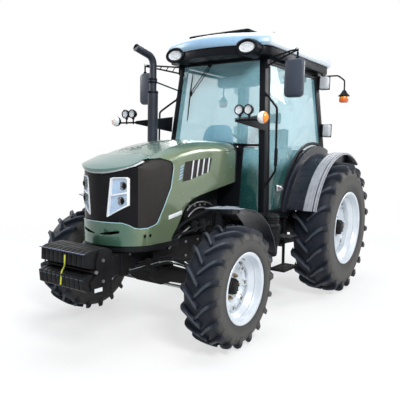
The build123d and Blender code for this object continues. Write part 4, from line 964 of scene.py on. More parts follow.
def hoodStations(inset):
    half, start, nose = (hoodLook[key] for key in ("half", "noseStart", "nose"))
    stations = [(d, half) for d in (hoodLook["rear"], 1.62, 1.84, 2.04, 2.20, 2.36, 2.50, 2.60,
                                    start)]
    for turn in (12, 24, 35, 45, 54, 62, 69, 75, 80, 84, 87, 90):
        stations.append((start + (nose - start) * sin(radians(turn)), half * cos(radians(turn))))
    lines = []
    for number, (d, width) in enumerate(stations):
        if number == len(stations) - 1:
            width = 0.0
        top = follow(hoodLook["crown"], d) - inset
        reach = max(0.0, width - inset) if width else 0.0
        shareIn = inset * max(0.0, (d - start) / (nose - start)) ** 2
        line = []
        for share in (0, 0.16, 0.32, 0.48, 0.62, 0.72, 0.79, 0.85, 0.90, 0.94, 0.97, 0.99, 1.0):
            line.append(Vector((reach * share, ahead(d - shareIn), top - crownDrop(width * share))))
        upper = line[-1].z
        for step in range(1, 9):
            line.append(Vector((reach, ahead(d - shareIn),
                                upper + (hoodLook["floor"] - upper) * step / 8)))
        lines.append(line)
    return lines


def hoodSkin(name, inset, wall):
    lines = hoodStations(inset)
    count = len(lines[0])
    piece = joined(name, [chain(f"{name}{number}", line) for number, line in enumerate(lines)])
    startEditing(piece, "VERT")
    for first in range(0, count * (len(lines) - 1), count):
        pickPoints(piece, range(first, first + 2 * count))
        bpy.ops.mesh.bridge_edge_loops()
    selectAll()
    bpy.ops.mesh.remove_doubles(threshold=0.0004)
    bpy.ops.mesh.normals_make_consistent(inside=False)
    stopEditing()
    shape(piece, "MIRROR", use_axis=(True, False, False), merge_threshold=0.001)
    startEditing(piece)
    faceOut()
    stopEditing()
    # the top must face up, whichever way the strip was drawn
    if max(piece.data.polygons, key=lambda face: face.center.z).normal.z < 0:
        startEditing(piece)
        selectAll()
        bpy.ops.mesh.flip_normals()
        stopEditing()
    shape(piece, "SOLIDIFY", thickness=wall, offset=-1)
    return piece


def sideCutter(name, outline, fromX=-0.45, toX=0.45):
    return plate(name, [(fromX, ahead(d), z) for d, z in outline], (toX - fromX, 0, 0))


def frontCutter(name, outline, fromD=3.05, depth=0.35):
    return plate(name, [(x, ahead(fromD), z) for x, z in outline], (0, depth, 0))


def mirrored(outline):
    return [(-x, z) for x, z in outline]


def shrunk(outline, amount):
    # the outline drawn in towards its own middle
    middleX = sum(x for x, z in outline) / len(outline)
    middleZ = sum(z for x, z in outline) / len(outline)
    wide = max(abs(x - middleX) for x, z in outline)
    tall = max(abs(z - middleZ) for x, z in outline)
    return [(middleX + (x - middleX) * (1 - amount / wide),
             middleZ + (z - middleZ) * (1 - amount / tall))
            for x, z in outline]


def makeHood():
    hood = hoodSkin("hoodShell", 0.0, hoodLook["wall"])
    carved(hood, sideCutter("under", hoodLook["under"]), own=True)
    carved(hood, sideCutter("maskOpening", hoodLook["mask"]), own=True)
    carved(hood, sideCutter("ventOpening", hoodLook["vent"]), own=True)
    # seams between chin and sides, slots in the chin
    seam = [(2.777, 0.85), (2.777, 1.02), (2.774, 1.02), (2.774, 0.85)]
    for fromX, toX in ((0.30, 0.45), (-0.45, -0.30)):
        carved(hood, sideCutter("seam", seam, fromX, toX), own=True)
    slot = [(-0.20, 0.965), (-0.13, 0.950), (-0.03, 0.945), (-0.03, 0.955), (-0.13, 0.975),
            (-0.20, 0.985)]
    for outline in (slot, mirrored(slot)):
        carved(hood, frontCutter("slot", outline), own=True)
    bevelled(hood, 0.0022, 2, 40)
    dress(hood, "hoodGreen", "hood", "hood_green", "hood", angle=24)

    mask = hoodSkin("mask", 0.008, 0.008)
    carved(mask, sideCutter("maskEdge", hoodLook["mask"]), "INTERSECT", own=True)
    side = copied(mask)
    carved(mask, sideCutter("frontPart", [(2.838, 0.9), (3.1, 0.9), (3.1, 1.7), (2.838, 1.7)]),
           "INTERSECT", own=True)
    carved(side, sideCutter("sidePart", [(2.834, 0.9), (2.3, 0.9), (2.3, 1.7), (2.834, 1.7)]),
           "INTERSECT", own=True)
    for outline in (hoodLook["lamp"], mirrored(hoodLook["lamp"])):
        carved(mask, frontCutter("lampOpening", outline), own=True)
    bevelled(mask, 0.002, 2, 40)
    dress(mask, "maskBlack", "hood", "dark_plastic", "hood_grilles", angle=24)
    side.name = "maskMesh"
    dress(side, "meshBrown", "hood", "dark_plastic", angle=24)

    # a lip stands out round the front edge of the top, in a teal of painted shade and reflection, with a
    # pale strip below it
    edge = [(2.680, 1.571), (2.760, 1.554), (2.890, 1.509), (3.10, 1.400)]
    for name, inset, wall, low, high, finish, first in (
            ("hoodLip", -0.013, 0.014, 0.002, 0.030, "paintedShadeTeal", 0),
            ("hoodUnderLip", -0.005, 0.008, -0.016, 0.003, "lampHousing", 1)):
        lip = hoodSkin(name, inset, wall)
        band = [(d, z + low) for d, z in edge[first:]] + [(d, z + high) for d,
                z in reversed(edge[first:])]
        carved(lip, sideCutter("lipBand", band), "INTERSECT", own=True)
        bevelled(lip, 0.004, 2, 40)
        dress(lip, finish, "hood", "hood_green", angle=40)
    seal = hoodSkin("hoodSeal", -0.0015, 0.010)
    carved(seal, sideCutter("sealBand", [(1.430, 0.80), (1.430, 1.80), (1.38, 1.80), (1.38, 0.80)]),
           "INTERSECT", own=True)
    carved(seal, sideCutter("sealUnder", hoodLook["under"]), own=True)
    dress(seal, "cabBlack", "hood", "cab_black", angle=40)
    # painted highlight: a thin light-blue line along the mask opening's edge
    rim = hoodSkin("maskEdgeHighlight", -0.0012, 0.003)
    carved(rim, sideCutter("rimOuter", hoodLook["mask"]), "INTERSECT", own=True)
    carved(rim, sideCutter("rimInner", [(3.10, 1.053)] + [(d, z + 0.006) for d,
            z in hoodLook["mask"][1:6]]
                           + [(d + 0.007, z + 0.003) for d, z in hoodLook["mask"][6:12]]
                           + [(d, z + 0.02) for d, z in hoodLook["mask"][12:-1]] + [(3.10, 1.45)]),
                           own=True)
    dress(rim, "trimBlue", "hood", "hood_green", angle=40)

    # mesh behind the vents, and its slanted bars
    vents = hoodSkin("ventMesh", 0.009, 0.004)
    carved(vents, sideCutter("ventEdge", hoodLook["vent"]), "INTERSECT")
    dress(vents, "meshBrown", "hood", "dark_plastic", angle=24)
    bars = []
    for number in range(4):
        d = 1.930 + number * 0.082
        for side in (1, -1):
            near, far = sorted((side * 0.346, side * 0.3565))
            bars.append(sideCutter("bar", [(d, 1.37), (d + 0.012, 1.37), (d - 0.030, 1.60),
                                           (d - 0.042, 1.60)], near, far))
    stripes = []
    for number in range(5):
        d, z = 2.318 - number * 0.006, 1.395 + number * 0.026
        for side in (1, -1):
            near, far = sorted((side * 0.3545, side * 0.3570))
            stripes.append(sideCutter("stripe",
                                      [(d + 0.052, z - 0.018), (d + 0.008, z),
                                       (d + 0.005, z + 0.013), (d + 0.049, z - 0.005)], near, far))
    dress(joined("ventStripes", stripes), "reflectorBlue", "hood", "rim_silver")
    bars = joined("ventBars", bars)
    carved(bars, sideCutter("ventTrim", hoodLook["vent"]), "INTERSECT")
    bevelled(bars, 0.002, 2, 40)
    dress(bars, "lampWhite", "hood", "rim_silver", angle=24)

    # headlamps: a pale frame, a deep floor, projectors and a clear cover
    frames, floors, covers = [], [], []
    for outline in (hoodLook["lamp"], mirrored(hoodLook["lamp"])):
        lampFrame = hoodSkin("lampFrame", 0.001, 0.022)
        carved(lampFrame, frontCutter("lampEdge", shrunk(outline, 0.001)), "INTERSECT")
        inner = shrunk(outline, 0.013)
        lean = 1 if outline[0][0] > 0 else -1
        xs = [x for x, z in inner]
        low, high = min(xs) - 0.01, max(xs) + 0.01
        split = frontCutter("split", [(low, 1.270 - 0.018 * lean), (high, 1.270 + 0.018 * lean),
                                      (high, 1.282 + 0.018 * lean), (low, 1.282 - 0.018 * lean)])
        cell = frontCutter("cell", inner)
        carved(cell, split)
        carved(lampFrame, cell)
        frames.append(lampFrame)
        lampFloor = hoodSkin("lampFloor", 0.021, 0.004)
        carved(lampFloor, frontCutter("floorEdge", shrunk(outline, 0.002)), "INTERSECT")
        floors.append(lampFloor)
        cover = hoodSkin("lampCover", 0.0035, 0.002)
        carved(cover, frontCutter("coverEdge", shrunk(outline, 0.012)), "INTERSECT")
        covers.append(cover)
    lampFrames = joined("headlampFrames", frames)
    bevelled(lampFrames, 0.0015, 2, 40)
    dress(lampFrames, "lampWhite", "hood", "lamp_lens", "headlamps", angle=24)
    lampFloors = joined("headlampReflectors", floors)
    dress(lampFloors, "reflectorBlue", "hood", "lamp_lens", angle=24)
    lampCovers = joined("headlampCovers", covers)
    dress(lampCovers, "lampLens", "hood", "clear_glass", angle=24)
    projectors = []
    for side in (-1, 1):
        for x, z in ((0.212, 1.345), (0.198, 1.225)):
            depth = hoodLook["noseStart"] + 0.29 * sqrt(1 - (x / hoodLook["half"]) ** 2)
            projectors.append(turned("projector", (side * x, ahead(depth), z), (0, -1, 0), [
                (0.0, -0.008), (0.018, -0.010), (0.026, -0.015), (0.029, -0.012), (0.033, -0.013),
                (0.033, -0.030), (0.0, -0.030)], 28))
    projectors = joined("headlampProjectors", projectors)
    dress(projectors, "maskBlack", "hood", "dark_plastic", angle=24)


makeHood()
print("hood ready")


def mergedCopy(name, nodeName):
    # a copy of a CAD solid in its place, its split points merged; it is left in edit mode
    source = frame["nodes"][nodeName]
    mesh = source.data.copy()
    mesh.transform(source.matrix_world)
    piece = bpy.data.objects.new(name, mesh)
    bpy.context.scene.collection.objects.link(piece)
    startEditing(piece, "VERT")
    selectAll()
    bpy.ops.mesh.remove_doubles(threshold=0.00002)
    return piece


# Pieces that keep the solid's own form: a merged copy of it gets soft edges.
def refined(name, nodeName, body, finish, slotName, bevel=0.004, angle=32):
    piece = mergedCopy(name, nodeName)
    bpy.ops.mesh.dissolve_limited(angle_limit=radians(1.0))
    bpy.ops.mesh.normals_make_consistent(inside=False)
    stopEditing()
    if bevel:
        bevelled(piece, bevel, angle=35)
    return dress(piece, finish, body, slotName, nodeName, angle=angle)


# name, node, body, finish, slot, bevel
plainPieces = [
    ("cabFrame", "cab_frame", "chassis", "cabBlack", "cab_black", 0.010),
    ("cabFloor", "cab_floor", "chassis", "cabBlack", "cab_black", 0.004),
    ("roofLiner", "roof_liner", "chassis", "cabBlack", "cab_black", 0.014),
    ("doorFrameLeft", "door_frame_left", "door_left", "cabBlack", "cab_black", 0.006),
    ("doorFrameRight", "door_frame_right", "door_right", "cabBlack", "cab_black", 0.006),
    ("frontWeights", "front_weights", "chassis", "castingGrey", "casting_grey", 0.006),
    ("weightRack", "weight_rack", "chassis", "chassisDark", "chassis_dark", 0.005),
    ("frontFrame", "front_frame", "chassis", "chassisDark", "chassis_dark", 0.008),
    ("engineBlock", "engine_block", "chassis", "castingGrey", "casting_grey", 0.012),
    ("driveline", "driveline_housing", "chassis", "castingGrey", "casting_grey", 0.008),
    ("frontAxle", "front_axle", "chassis", "chassisDark", "chassis_dark", 0.006),
    ("knuckleLeft", "knuckle_left", "knuckle_left", "chassisDark", "chassis_dark", 0.004),
    ("knuckleRight", "knuckle_right", "knuckle_right", "chassisDark", "chassis_dark", 0.004),
    ("frontFenderLeft", "front_fender_left", "knuckle_left", "frontFender", "dark_plastic", 0.003),
    ("frontFenderRight", "front_fender_right", "knuckle_right", "frontFender", "dark_plastic",
     0.003),
    ("rearFenderLeft", "rear_fender_left", "chassis", "fenderPlastic", "dark_plastic", 0.005),
    ("rearFenderRight", "rear_fender_right", "chassis", "fenderPlastic", "dark_plastic", 0.005),
    ("fuelTank", "fuel_tank", "chassis", "darkPlastic", "dark_plastic", 0.006),
    ("batteryBox", "battery_box", "chassis", "darkPlastic", "dark_plastic", 0.006),
    ("sideSteps", "side_steps", "chassis", "chassisDark", "chassis_dark", 0.003),
    ("liftArms", "lift_arms", "lift_arms", "chassisDark", "chassis_dark", 0.004),
    ("lowerLinks", "lower_links", "lower_links", "chassisDark", "chassis_dark", 0.003),
    ("liftRods", "lift_rods", "lift_rods", "chassisDark", "chassis_dark", 0.002),
    ("drawbar", "drawbar", "chassis", "chassisDark", "chassis_dark", 0.003),
    ("tieRod", "tie_rod", "tie_rod", "steelPins", "steel_pins", 0.002),
    ("seatBase", "seat_base", "chassis", "darkPlastic", "dark_plastic", 0.010),
    ("lampArms", "lamp_arms", "chassis", "cabBlack", "cab_black", 0.001),
]
for name, nodeName, body, finish, slotName, bevel in plainPieces:
    refined(name + "Shape", nodeName, body, finish, slotName, bevel)
for side in ("left", "right"):
    refined(f"doorPane{side.title()}", f"door_glass_{side}", f"door_{side}", "clearGlass",
            "clear_glass", 0.002)
refined("frontPanes", "front_glass", "chassis", "clearGlass", "clear_glass", 0.002)
refined("rearPane", "rear_window", "rear_window", "clearGlass", "clear_glass", 0.002)
print("plain pieces ready")


# Roof: a pale shell whose front edge arches over two oval lamps.
roofLook = {
    "half": 0.645, "front": 1.505, "corner": 1.330, "back": -0.330,
    # height, how far the outline is drawn in
    "levels": [(2.666, 0.012), (2.690, 0.0), (2.738, 0.005), (2.768, 0.018), (2.790, 0.048),
               (2.806, 0.105), (2.814, 0.18)],
    "lampX": 0.440, "lampZ": 2.640, "lampD": 1.377, "lampSize": (0.086, 0.048),
    "archSize": (0.124, 0.082)}


def roofLevel(z, inset):
    half, corner, back = roofLook["half"] - inset, roofLook["corner"] - inset, roofLook["back"] + inset
    rise = roofLook["front"] - roofLook["corner"]
    wide = half - 0.030
    points = []
    for step in range(-8, 9):
        x = wide * step / 8
        points.append((x, ahead(corner + rise * (1 - (x / wide) ** 2)), z))
    points += [(half - 0.008, ahead(corner - 0.020), z), (half, ahead(corner - 0.065), z),
               (half, ahead(back + 0.100), z), (half - 0.012, ahead(back + 0.045), z),
               (half - 0.045, ahead(back + 0.010), z), (half - 0.100, ahead(back), z)]
    points += [(-x, y, z) for x, y, z in reversed(points[-6:])]
    return [Vector(point) for point in points]


def oval(name, x, z, fromD, depth, size, steps=40):
    clearSelection()
    bpy.ops.mesh.primitive_cylinder_add(vertices=steps, radius=1, depth=depth,
                                        location=(x, ahead(fromD - depth / 2), z),
                                        rotation=(pi / 2, 0, 0))
    piece = named(name)
    piece.scale = (size[0], size[1], 1)
    return applyPlace(piece)


def makeRoof():
    shell = loft("roofShellShape", [roofLevel(z, inset) for z, inset in roofLook["levels"]])
    inner = loft("inner", [roofLevel(z, inset) for z, inset in
                           [(2.60, 0.050), (2.70, 0.050), (2.750, 0.070)]])
    carved(shell, inner)
    for side in (-1, 1):
        carved(shell, oval("arch", side * roofLook["lampX"], roofLook["lampZ"], 1.60, 0.40,
                           roofLook["archSize"]))
    bevelled(shell, 0.004, 2, 40)
    dress(shell, "roofWhite", "chassis", "roof_white", "roof_shell", angle=40)
    panel = block("roofPanel", (-0.330, ahead(1.330), 2.813), (0.400, ahead(0.350), 2.8405), 0.010)
    startEditing(panel)
    pickFaces(panel, lambda centre, normal: normal.z > 0.9)
    bpy.ops.mesh.inset(thickness=0.030)
    bpy.ops.mesh.extrude_region_move(TRANSFORM_OT_translate={"value": (0, 0, -0.006)})
    stopEditing()
    dress(panel, "cabBlack", "chassis", "cab_black")
    eyes = []
    for side in (-1, 1):
        eyes.append(turned("eye", (side * 0.529, ahead(1.033), 2.780), (0, 0, 1), [
            (0, 0), (0.018, 0), (0.018, 0.030), (0.011, 0.036), (0.009, 0.052), (0.014, 0.058),
            (0.014, 0.064), (0.008, 0.0665), (0, 0.0665)], 20))
    dress(joined("liftingEyes", eyes), "steelPins", "chassis", "steel_pins")

    # black surrounds, then bowl, bulbs and lens of each oval lamp
    lampX, lampZ, lampD = roofLook["lampX"], roofLook["lampZ"], roofLook["lampD"]
    wide, tall = roofLook["lampSize"]
    arch = roofLook["archSize"]
    surrounds, bowls, lenses = [], [], []
    for side in (-1, 1):
        front = lampD + 0.050
        surround = loft("surround", [
            ovalRing(side * lampX, lampZ, 1.13, (arch[0] - 0.002, arch[1] - 0.002)),
            ovalRing(side * lampX, lampZ, front + 0.008, (arch[0] - 0.002, arch[1] - 0.002)),
            ovalRing(side * lampX, lampZ, front + 0.020, (arch[0] - 0.012, arch[1] - 0.012)),
            ovalRing(side * lampX, lampZ, front + 0.016, (wide + 0.010, tall + 0.010)),
            ovalRing(side * lampX, lampZ, front - 0.010, (wide + 0.004, tall + 0.004))])
        surrounds.append(surround)
        bowls.append(loft("bowl", [
            ovalRing(side * lampX, lampZ, front - 0.009, (wide + 0.003, tall + 0.003)),
            ovalRing(side * lampX, lampZ, front + 0.004, (wide, tall)),
            ovalRing(side * lampX, lampZ, front + 0.004, (wide - 0.007, tall - 0.007)),
            ovalRing(side * lampX, lampZ, front - 0.006, (wide - 0.014, tall - 0.014))]))
        for x, z in ((-0.040, 0), (0.040, 0), (0, 0.018), (0, -0.018), (-0.020, 0.022),
                     (0.020, 0.022),
                     (-0.020, -0.022), (0.020, -0.022)):
            bowls.append(turned("cell", (side * lampX + x, ahead(front - 0.008), lampZ + z),
                                (0, -1, 0),
                                [(0.0, 0.008), (0.006, 0.006), (0.012, 0.0), (0.0, 0.0)], 14))
        lenses.append(loft("lens", [
            ovalRing(side * lampX, lampZ, front + 0.003, (wide - 0.008, tall - 0.008)),
            ovalRing(side * lampX, lampZ, front + 0.008, (wide - 0.016, tall - 0.014)),
            ovalRing(side * lampX, lampZ, front + 0.011, (wide - 0.045, tall - 0.034))]))
    dress(joined("roofLampSurrounds", surrounds), "cabBlack", "chassis", "cab_black")
    dress(joined("roofLampBowls", bowls), "lampWhite", "chassis", "lamp_lens")
    dress(joined("roofLampLenses", lenses), "lampLens", "chassis", "clear_glass")


def ovalRing(x, z, d, size, steps=36):
    return [Vector((x + size[0] * cos(2 * pi * step / steps), ahead(d),
                    z + size[1] * sin(2 * pi * step / steps))) for step in range(steps)]


makeRoof()
print("roof ready")


# Fender lips: four pale ridges along the outer edge.
def makeFenderLips():
    centre = Vector((0.0, rearAxleY, 0.765))
    start, sweep = radians(17.2), radians(104.0)
    side = Vector((0, -cos(start), sin(start)))
    profile = [(0.858, 0.9900), (0.858, 0.8450), (0.866, 0.8400)]
    for ridge in range(4):
        x = 0.846 + ridge * 0.036
        profile += [(0.872, x), (0.879, x + 0.005), (0.879, x + 0.024), (0.872, x + 0.029)]
    profile += [(0.868, 0.988)]
    lip = chain("rearFenderLipLeft", [centre + side * r + Vector((x, 0, 0)) for r, x in profile],
                True)
    startEditing(lip)
    selectAll()
    bpy.ops.mesh.spin(steps=48, angle=sweep, center=centre, axis=(1, 0, 0))
    selectAll()
    bpy.ops.mesh.remove_doubles(threshold=0.0001)
    bpy.ops.mesh.normals_make_consistent(inside=False)
    stopEditing()
    dress(lip, "lipGrey", "chassis", "dark_plastic", angle=30)
    otherSide(lip, "rearFenderLipRight", "chassis")


makeFenderLips()
print("fender lips ready")


# Exhaust: bent pipe with an open slanted mouth, clamp, stay and a perforated shield.
exhaustLook = {"x": -0.430, "d": 1.800, "pipe": 0.037, "shield": 0.052, "shieldLow": 1.690,
               "shieldHigh": 2.230, "rings": 24, "sides": 30}


def makeExhaust():
    look = exhaustLook
    x, d = look["x"], look["d"]
    refined("exhaustPipe", "exhaust_stack", "chassis", "exhaustMetal", "exhaust_metal", 0.0)
    step = (look["shieldHigh"] - look["shieldLow"]) / look["rings"]
    outline = [(look["pipe"], look["shieldLow"] - 0.004)]
    outline += [(look["shield"] + 0.0006,
                 look["shieldLow"] + step * ring) for ring in range(look["rings"] + 1)]
    outline += [(look["pipe"], look["shieldHigh"] + 0.006)]
    shield = turned("exhaustShield", (x, ahead(d), 0), (0, 0, 1), outline, look["sides"])
    startEditing(shield)
    pickFaces(shield, lambda centre, normal: abs(normal.z) < 0.2
              and look["shieldLow"] + step < centre.z < look["shieldHigh"] - step)
    bpy.ops.mesh.inset(thickness=0.0026, use_individual=True)
    bpy.ops.mesh.delete(type="FACE")
    stopEditing()
    shape(shield, "SOLIDIFY", thickness=0.0016, offset=-1)
    dress(shield, "exhaustMetal", "chassis", "exhaust_metal")
    bands = []
    for z, radius in ((2.316, 0.0425), (2.344, 0.0425), (1.700, 0.0545), (2.214, 0.0545)):
        bands.append(turned("band", (x, ahead(d), z), (0, 0, 1), [
            (radius - 0.006, -0.009), (radius, -0.009), (radius + 0.001, -0.004),
            (radius + 0.001, 0.004),
            (radius, 0.009), (radius - 0.006, 0.009)], 32))
        lug = block("lug", (x - 0.012, ahead(d) - radius - 0.018, z - 0.008),
                    (x + 0.012, ahead(d) - radius + 0.004, z + 0.008), 0.002)
        bands.append(lug)
    dress(joined("exhaustBands", bands), "cabBlack", "chassis", "cab_black")


makeExhaust()
print("exhaust ready")


# Mirrors on truss arms.
mirrorLook = {"x": 0.911, "d": 1.344, "low": 2.150, "high": 2.505, "wide": 0.192, "root": 0.5376}


def roundedRing(cx, cz, wide, tall, radius, d, steps=6):
    ring = []
    for quarter, (sx, sz) in enumerate(((1, 1), (-1, 1), (-1, -1), (1, -1))):
        for step in range(steps + 1):
            turn = pi / 2 * (quarter + step / steps)
            ring.append(Vector((cx + sx * (wide / 2 - radius) + radius * cos(turn), ahead(d),
                                cz + sz * (tall / 2 - radius) + radius * sin(turn))))
    return ring


def makeMirror():
    look = mirrorLook
    x, d = look["x"], look["d"]
    z, tall = (look["low"] + look["high"]) / 2, look["high"] - look["low"]
    shell = loft("mirrorShellLeft", [
        roundedRing(x, z, look["wide"] - 0.006, tall - 0.006, 0.040, d - 0.030),
        roundedRing(x, z, look["wide"], tall, 0.044, d - 0.024),
        roundedRing(x, z, look["wide"], tall, 0.044, d - 0.002),
        roundedRing(x, z, look["wide"] - 0.012, tall - 0.012, 0.044, d + 0.016),
        roundedRing(x, z, look["wide"] - 0.040, tall - 0.040, 0.040, d + 0.026)])
    dress(shell, "mirrorShell", "chassis", "dark_plastic", "mirrors")
    glass = loft("mirrorGlassLeft", [
        roundedRing(x, z, look["wide"] - 0.020, tall - 0.020, 0.034, d - 0.0335),
        roundedRing(x, z, look["wide"] - 0.018, tall - 0.018, 0.034, d - 0.029)])
    dress(glass, "mirrorGlass", "chassis", "mirror_glass")
    tip = Vector((x + 0.028, ahead(d), 2.592))
    rootHigh = Vector((look["root"] + 0.006, ahead(1.185), 2.558))
    rootLow = Vector((look["root"] + 0.010, ahead(1.185), 2.490))
    parts = [tube("upper", [rootHigh, tip], 0.009),
             tube("lower", [rootLow, tip - Vector((0, 0, 0.010))], 0.009)]
    for share in (0.16, 0.34, 0.52, 0.70):
        top = rootHigh.lerp(tip, share)
        bottom = rootLow.lerp(tip - Vector((0, 0, 0.010)), share + 0.07)
        parts.append(tube("rung", [top, bottom], 0.0055, 8))
    parts.append(drum("stub", (tip.x, tip.y, 2.505), (tip.x, tip.y, 2.604), 0.0095, 20,
                      bevel=0.003))
    parts.append(block("foot", (look["root"] - 0.016, ahead(1.212), 2.470),
                       (look["root"] + 0.020, ahead(1.158), 2.580), 0.006))
    parts.append(drum("clamp", (tip.x, tip.y, 2.500), (tip.x, tip.y, 2.518), 0.018, 20,
                      bevel=0.003))
    arm = joined("mirrorArmLeft", parts)
    dress(arm, "cabBlack", "chassis", "cab_black")
    capPiece = drum("mirrorArmCapLeft", (tip.x - 0.006, tip.y, 2.583),
                    (tip.x - 0.006, tip.y, 2.607), 0.020, 24, bevel=0.006)
    dress(capPiece, "lampHousing", "chassis", "cab_black")
    for piece, name in ((shell, "mirrorShellRight"), (glass, "mirrorGlassRight"),
                        (arm, "mirrorArmRight"),
                        (capPiece, "mirrorArmCapRight")):
        otherSide(piece, name, "chassis")


makeMirror()
print("mirrors ready")


# Work lamps and indicators on the front bars.
lampLook = {"bar": 1.860, "twin": (0.645, 0.739), "twinZ": 2.001, "twinR": 0.046,
            "signalX": 0.882, "signalZ": 1.930, "signalR": 0.056}


def makeWorkLamps():
    look = lampLook
    housings, bowls, covers = [], [], []
    for x in look["twin"]:
        centre, axis = (x, ahead(look["bar"]), look["twinZ"]), (0, -1, 0)
        r = look["twinR"]
        housings.append(turned("housing", centre, axis, [
            (0.0, -0.028), (r * 0.45, -0.028), (r * 0.80, -0.018), (r * 0.95, 0.004), (r, 0.012),
            (r, 0.028), (r - 0.003, 0.032), (r - 0.009, 0.030), (r - 0.010, 0.018)], 36))
        for fin in range(5):
            turn = radians(30 + 30 * fin)
            housings.append(block("fin", (x - 0.002 + r * 0.55 * cos(turn),
                                          ahead(look["bar"] - 0.034),
                                          look["twinZ"] - r * 0.55 * sin(turn)),
                                  (x + 0.002 + r * 0.55 * cos(turn), ahead(look["bar"] - 0.008),
                                   look["twinZ"] + r * 0.55 * sin(turn))))
        housings.append(block("yoke", (x - 0.012, ahead(look["bar"] + 0.010), 1.946),
                              (x + 0.012, ahead(look["bar"] - 0.010), 1.962), 0.003))
        housings.append(drum("bolt", (x, ahead(look["bar"]), 1.895), (x, ahead(look["bar"]), 1.955),
                             0.007, 12))
        bowls.append(turned("bowl", centre, axis, [
            (0.0, 0.014), (r - 0.016, 0.014), (r - 0.010, 0.019), (r - 0.009, 0.026),
            (r - 0.0085, 0.012),
            (0.0, 0.010)], 36))
        for number in range(7):
            turn, reach = (2 * pi * number / 6, 0.020) if number < 6 else (0, 0)
            place = (x + reach * cos(turn), centre[1], look["twinZ"] + reach * sin(turn))
            bowls.append(turned("cell", place, axis,
                                [(0, 0.024), (0.004, 0.022), (0.0085, 0.014), (0, 0.014)], 12))
        covers.append(turned("cover", centre, axis,
                             [(0.0, 0.030), (r * 0.5, 0.029), (r - 0.009, 0.026),
                                                     (r - 0.009, 0.024), (0.0, 0.026)], 32))
    # the bar's hooked tip carries the indicator
    x, z, r = look["signalX"], look["signalZ"], look["signalR"]
    centre, axis = (x, ahead(look["bar"] - 0.010), z), Vector((0.06, -1, 0))
    housings.append(turned("signalBack", centre, axis, [
        (0.0, -0.030), (r * 0.45, -0.028), (r * 0.80, -0.012), (r * 0.97, 0.012), (r * 0.98, 0.024),
        (r * 0.94, 0.026), (0.0, 0.020)], 36))
    dome = turned("signalDome", centre, axis, [
        (0.0, 0.062), (r * 0.35, 0.060), (r * 0.62, 0.054), (r * 0.82, 0.044), (r * 0.93, 0.032),
        (r * 0.97, 0.022), (0.0, 0.020)], 40)
    outer = copied(dome)
    for part, clearInner in ((dome, False), (outer, True)):
        startEditing(part)
        selectAll()
        bpy.ops.mesh.bisect(plane_co=(x + 0.014, centre[1], z), plane_no=(1, 0.06, 0),
                            use_fill=True,
                            clear_inner=clearInner, clear_outer=not clearInner)
        stopEditing()
    pieces = [
        dress(joined("twinLampHousingsLeft", housings), "cabBlack", "chassis", "cab_black",
              "lamps"),
        dress(joined("twinLampBowlsLeft", bowls), "lampWhite", "chassis", "lamp_lens"),
        dress(joined("twinLampCoversLeft", covers), "lampLens", "chassis", "clear_glass")]
    dome.name = "indicatorInnerLeft"
    outer.name = "indicatorOuterLeft"
    pieces.append(dress(dome, "lampWhite", "chassis", "lamp_lens"))
    pieces.append(dress(outer, "amberLens", "chassis", "amber_lens"))
    for piece in pieces:
        otherSide(piece, piece.name.replace("Left", "Right"), "chassis")


makeWorkLamps()
print("work lamps ready")


# Rear work lamps on the corner posts, beacons on their stalks.
def leanX(z):
    return 0.655 - 0.08 * (z - 1.0)


def makeRearLamps():
    boxes, brackets, faces = [], [], []
    # height, place ahead of the axle, width
    for z, d, wide in ((2.480, -0.200, 0.106), (1.910, -0.260, 0.088)):
        x = leanX(z)
        boxes.append(block("lampBox", (x + 0.016, ahead(d + 0.050), z - 0.072),
                           (x + wide + 0.012, ahead(d - 0.034), z + 0.072), 0.014, 3))
        ring = block("lampRing", (x + 0.008, ahead(d - 0.030), z - 0.080),
                     (x + wide + 0.014, ahead(d - 0.046), z + 0.080), 0.006)
        brackets.append(ring)
        brackets.append(block("bracket", (x - 0.004, ahead(d + 0.056), z - 0.078),
                              (x + 0.022, ahead(d - 0.028), z + 0.078), 0.005))
        brackets.append(drum("knob", (x + wide - 0.006, ahead(d), z), (x + wide, ahead(d), z),
                             0.012, 16))
        face = block("lampFace", (x + 0.020, ahead(d - 0.043), z - 0.068),
                     (x + wide + 0.002, ahead(d - 0.0485), z + 0.068), 0.002)
        faces.append(face)
    pieces = [dress(joined("rearLampBoxesLeft", boxes), "lampHousing", "chassis", "lamp_lens"),
              dress(joined("rearLampBracketsLeft", brackets), "cabBlack", "chassis", "cab_black"),
              dress(joined("rearLampFacesLeft", faces), "lampWhite", "chassis", "lamp_lens")]
    x, y = 0.850, ahead(-0.200)
    stalk = [tube("stalk", [(0.560, y, 2.590), (0.560, y, 2.560), (0.600, y, 2.558),
                            (0.745, y, 2.556), (0.770, y, 2.553),
                            (0.840, y, 2.500), (x, y, 2.485), (x, y, 2.372)], 0.009, 12, 3),
             turned("bell", (x, y, 0), (0, 0, 1), [
                 (0.0, 2.382), (0.014, 2.381), (0.024, 2.372), (0.036, 2.350), (0.060, 2.325),
                 (0.068, 2.318),
                 (0.069, 2.311), (0.058, 2.309), (0.0, 2.309)], 32)]
    pieces.append(dress(joined("beaconStalkLeft", stalk), "cabBlack", "chassis", "cab_black",
                        "rear_signals"))
    amber = turned("beaconLensLeft", (x, y, 0), (0, 0, 1), [
        (0.0, 2.309), (0.052, 2.309), (0.056, 2.303), (0.057, 2.284), (0.055, 2.281),
        (0.055, 2.279), (0.0, 2.279)], 32)
    pieces.append(dress(amber, "amberLens", "chassis", "amber_lens"))
    red = turned("beaconTipLeft", (x, y, 0), (0, 0, 1), [
        (0.0, 2.279), (0.055, 2.279), (0.056, 2.262), (0.052, 2.245), (0.040, 2.235),
        (0.020, 2.233), (0.0, 2.233)], 32)
    pieces.append(dress(red, "beaconRed", "chassis", "amber_lens"))
    for piece in pieces:
        otherSide(piece, piece.name.replace("Left", "Right"), "chassis")


makeRearLamps()
print("rear lamps ready")


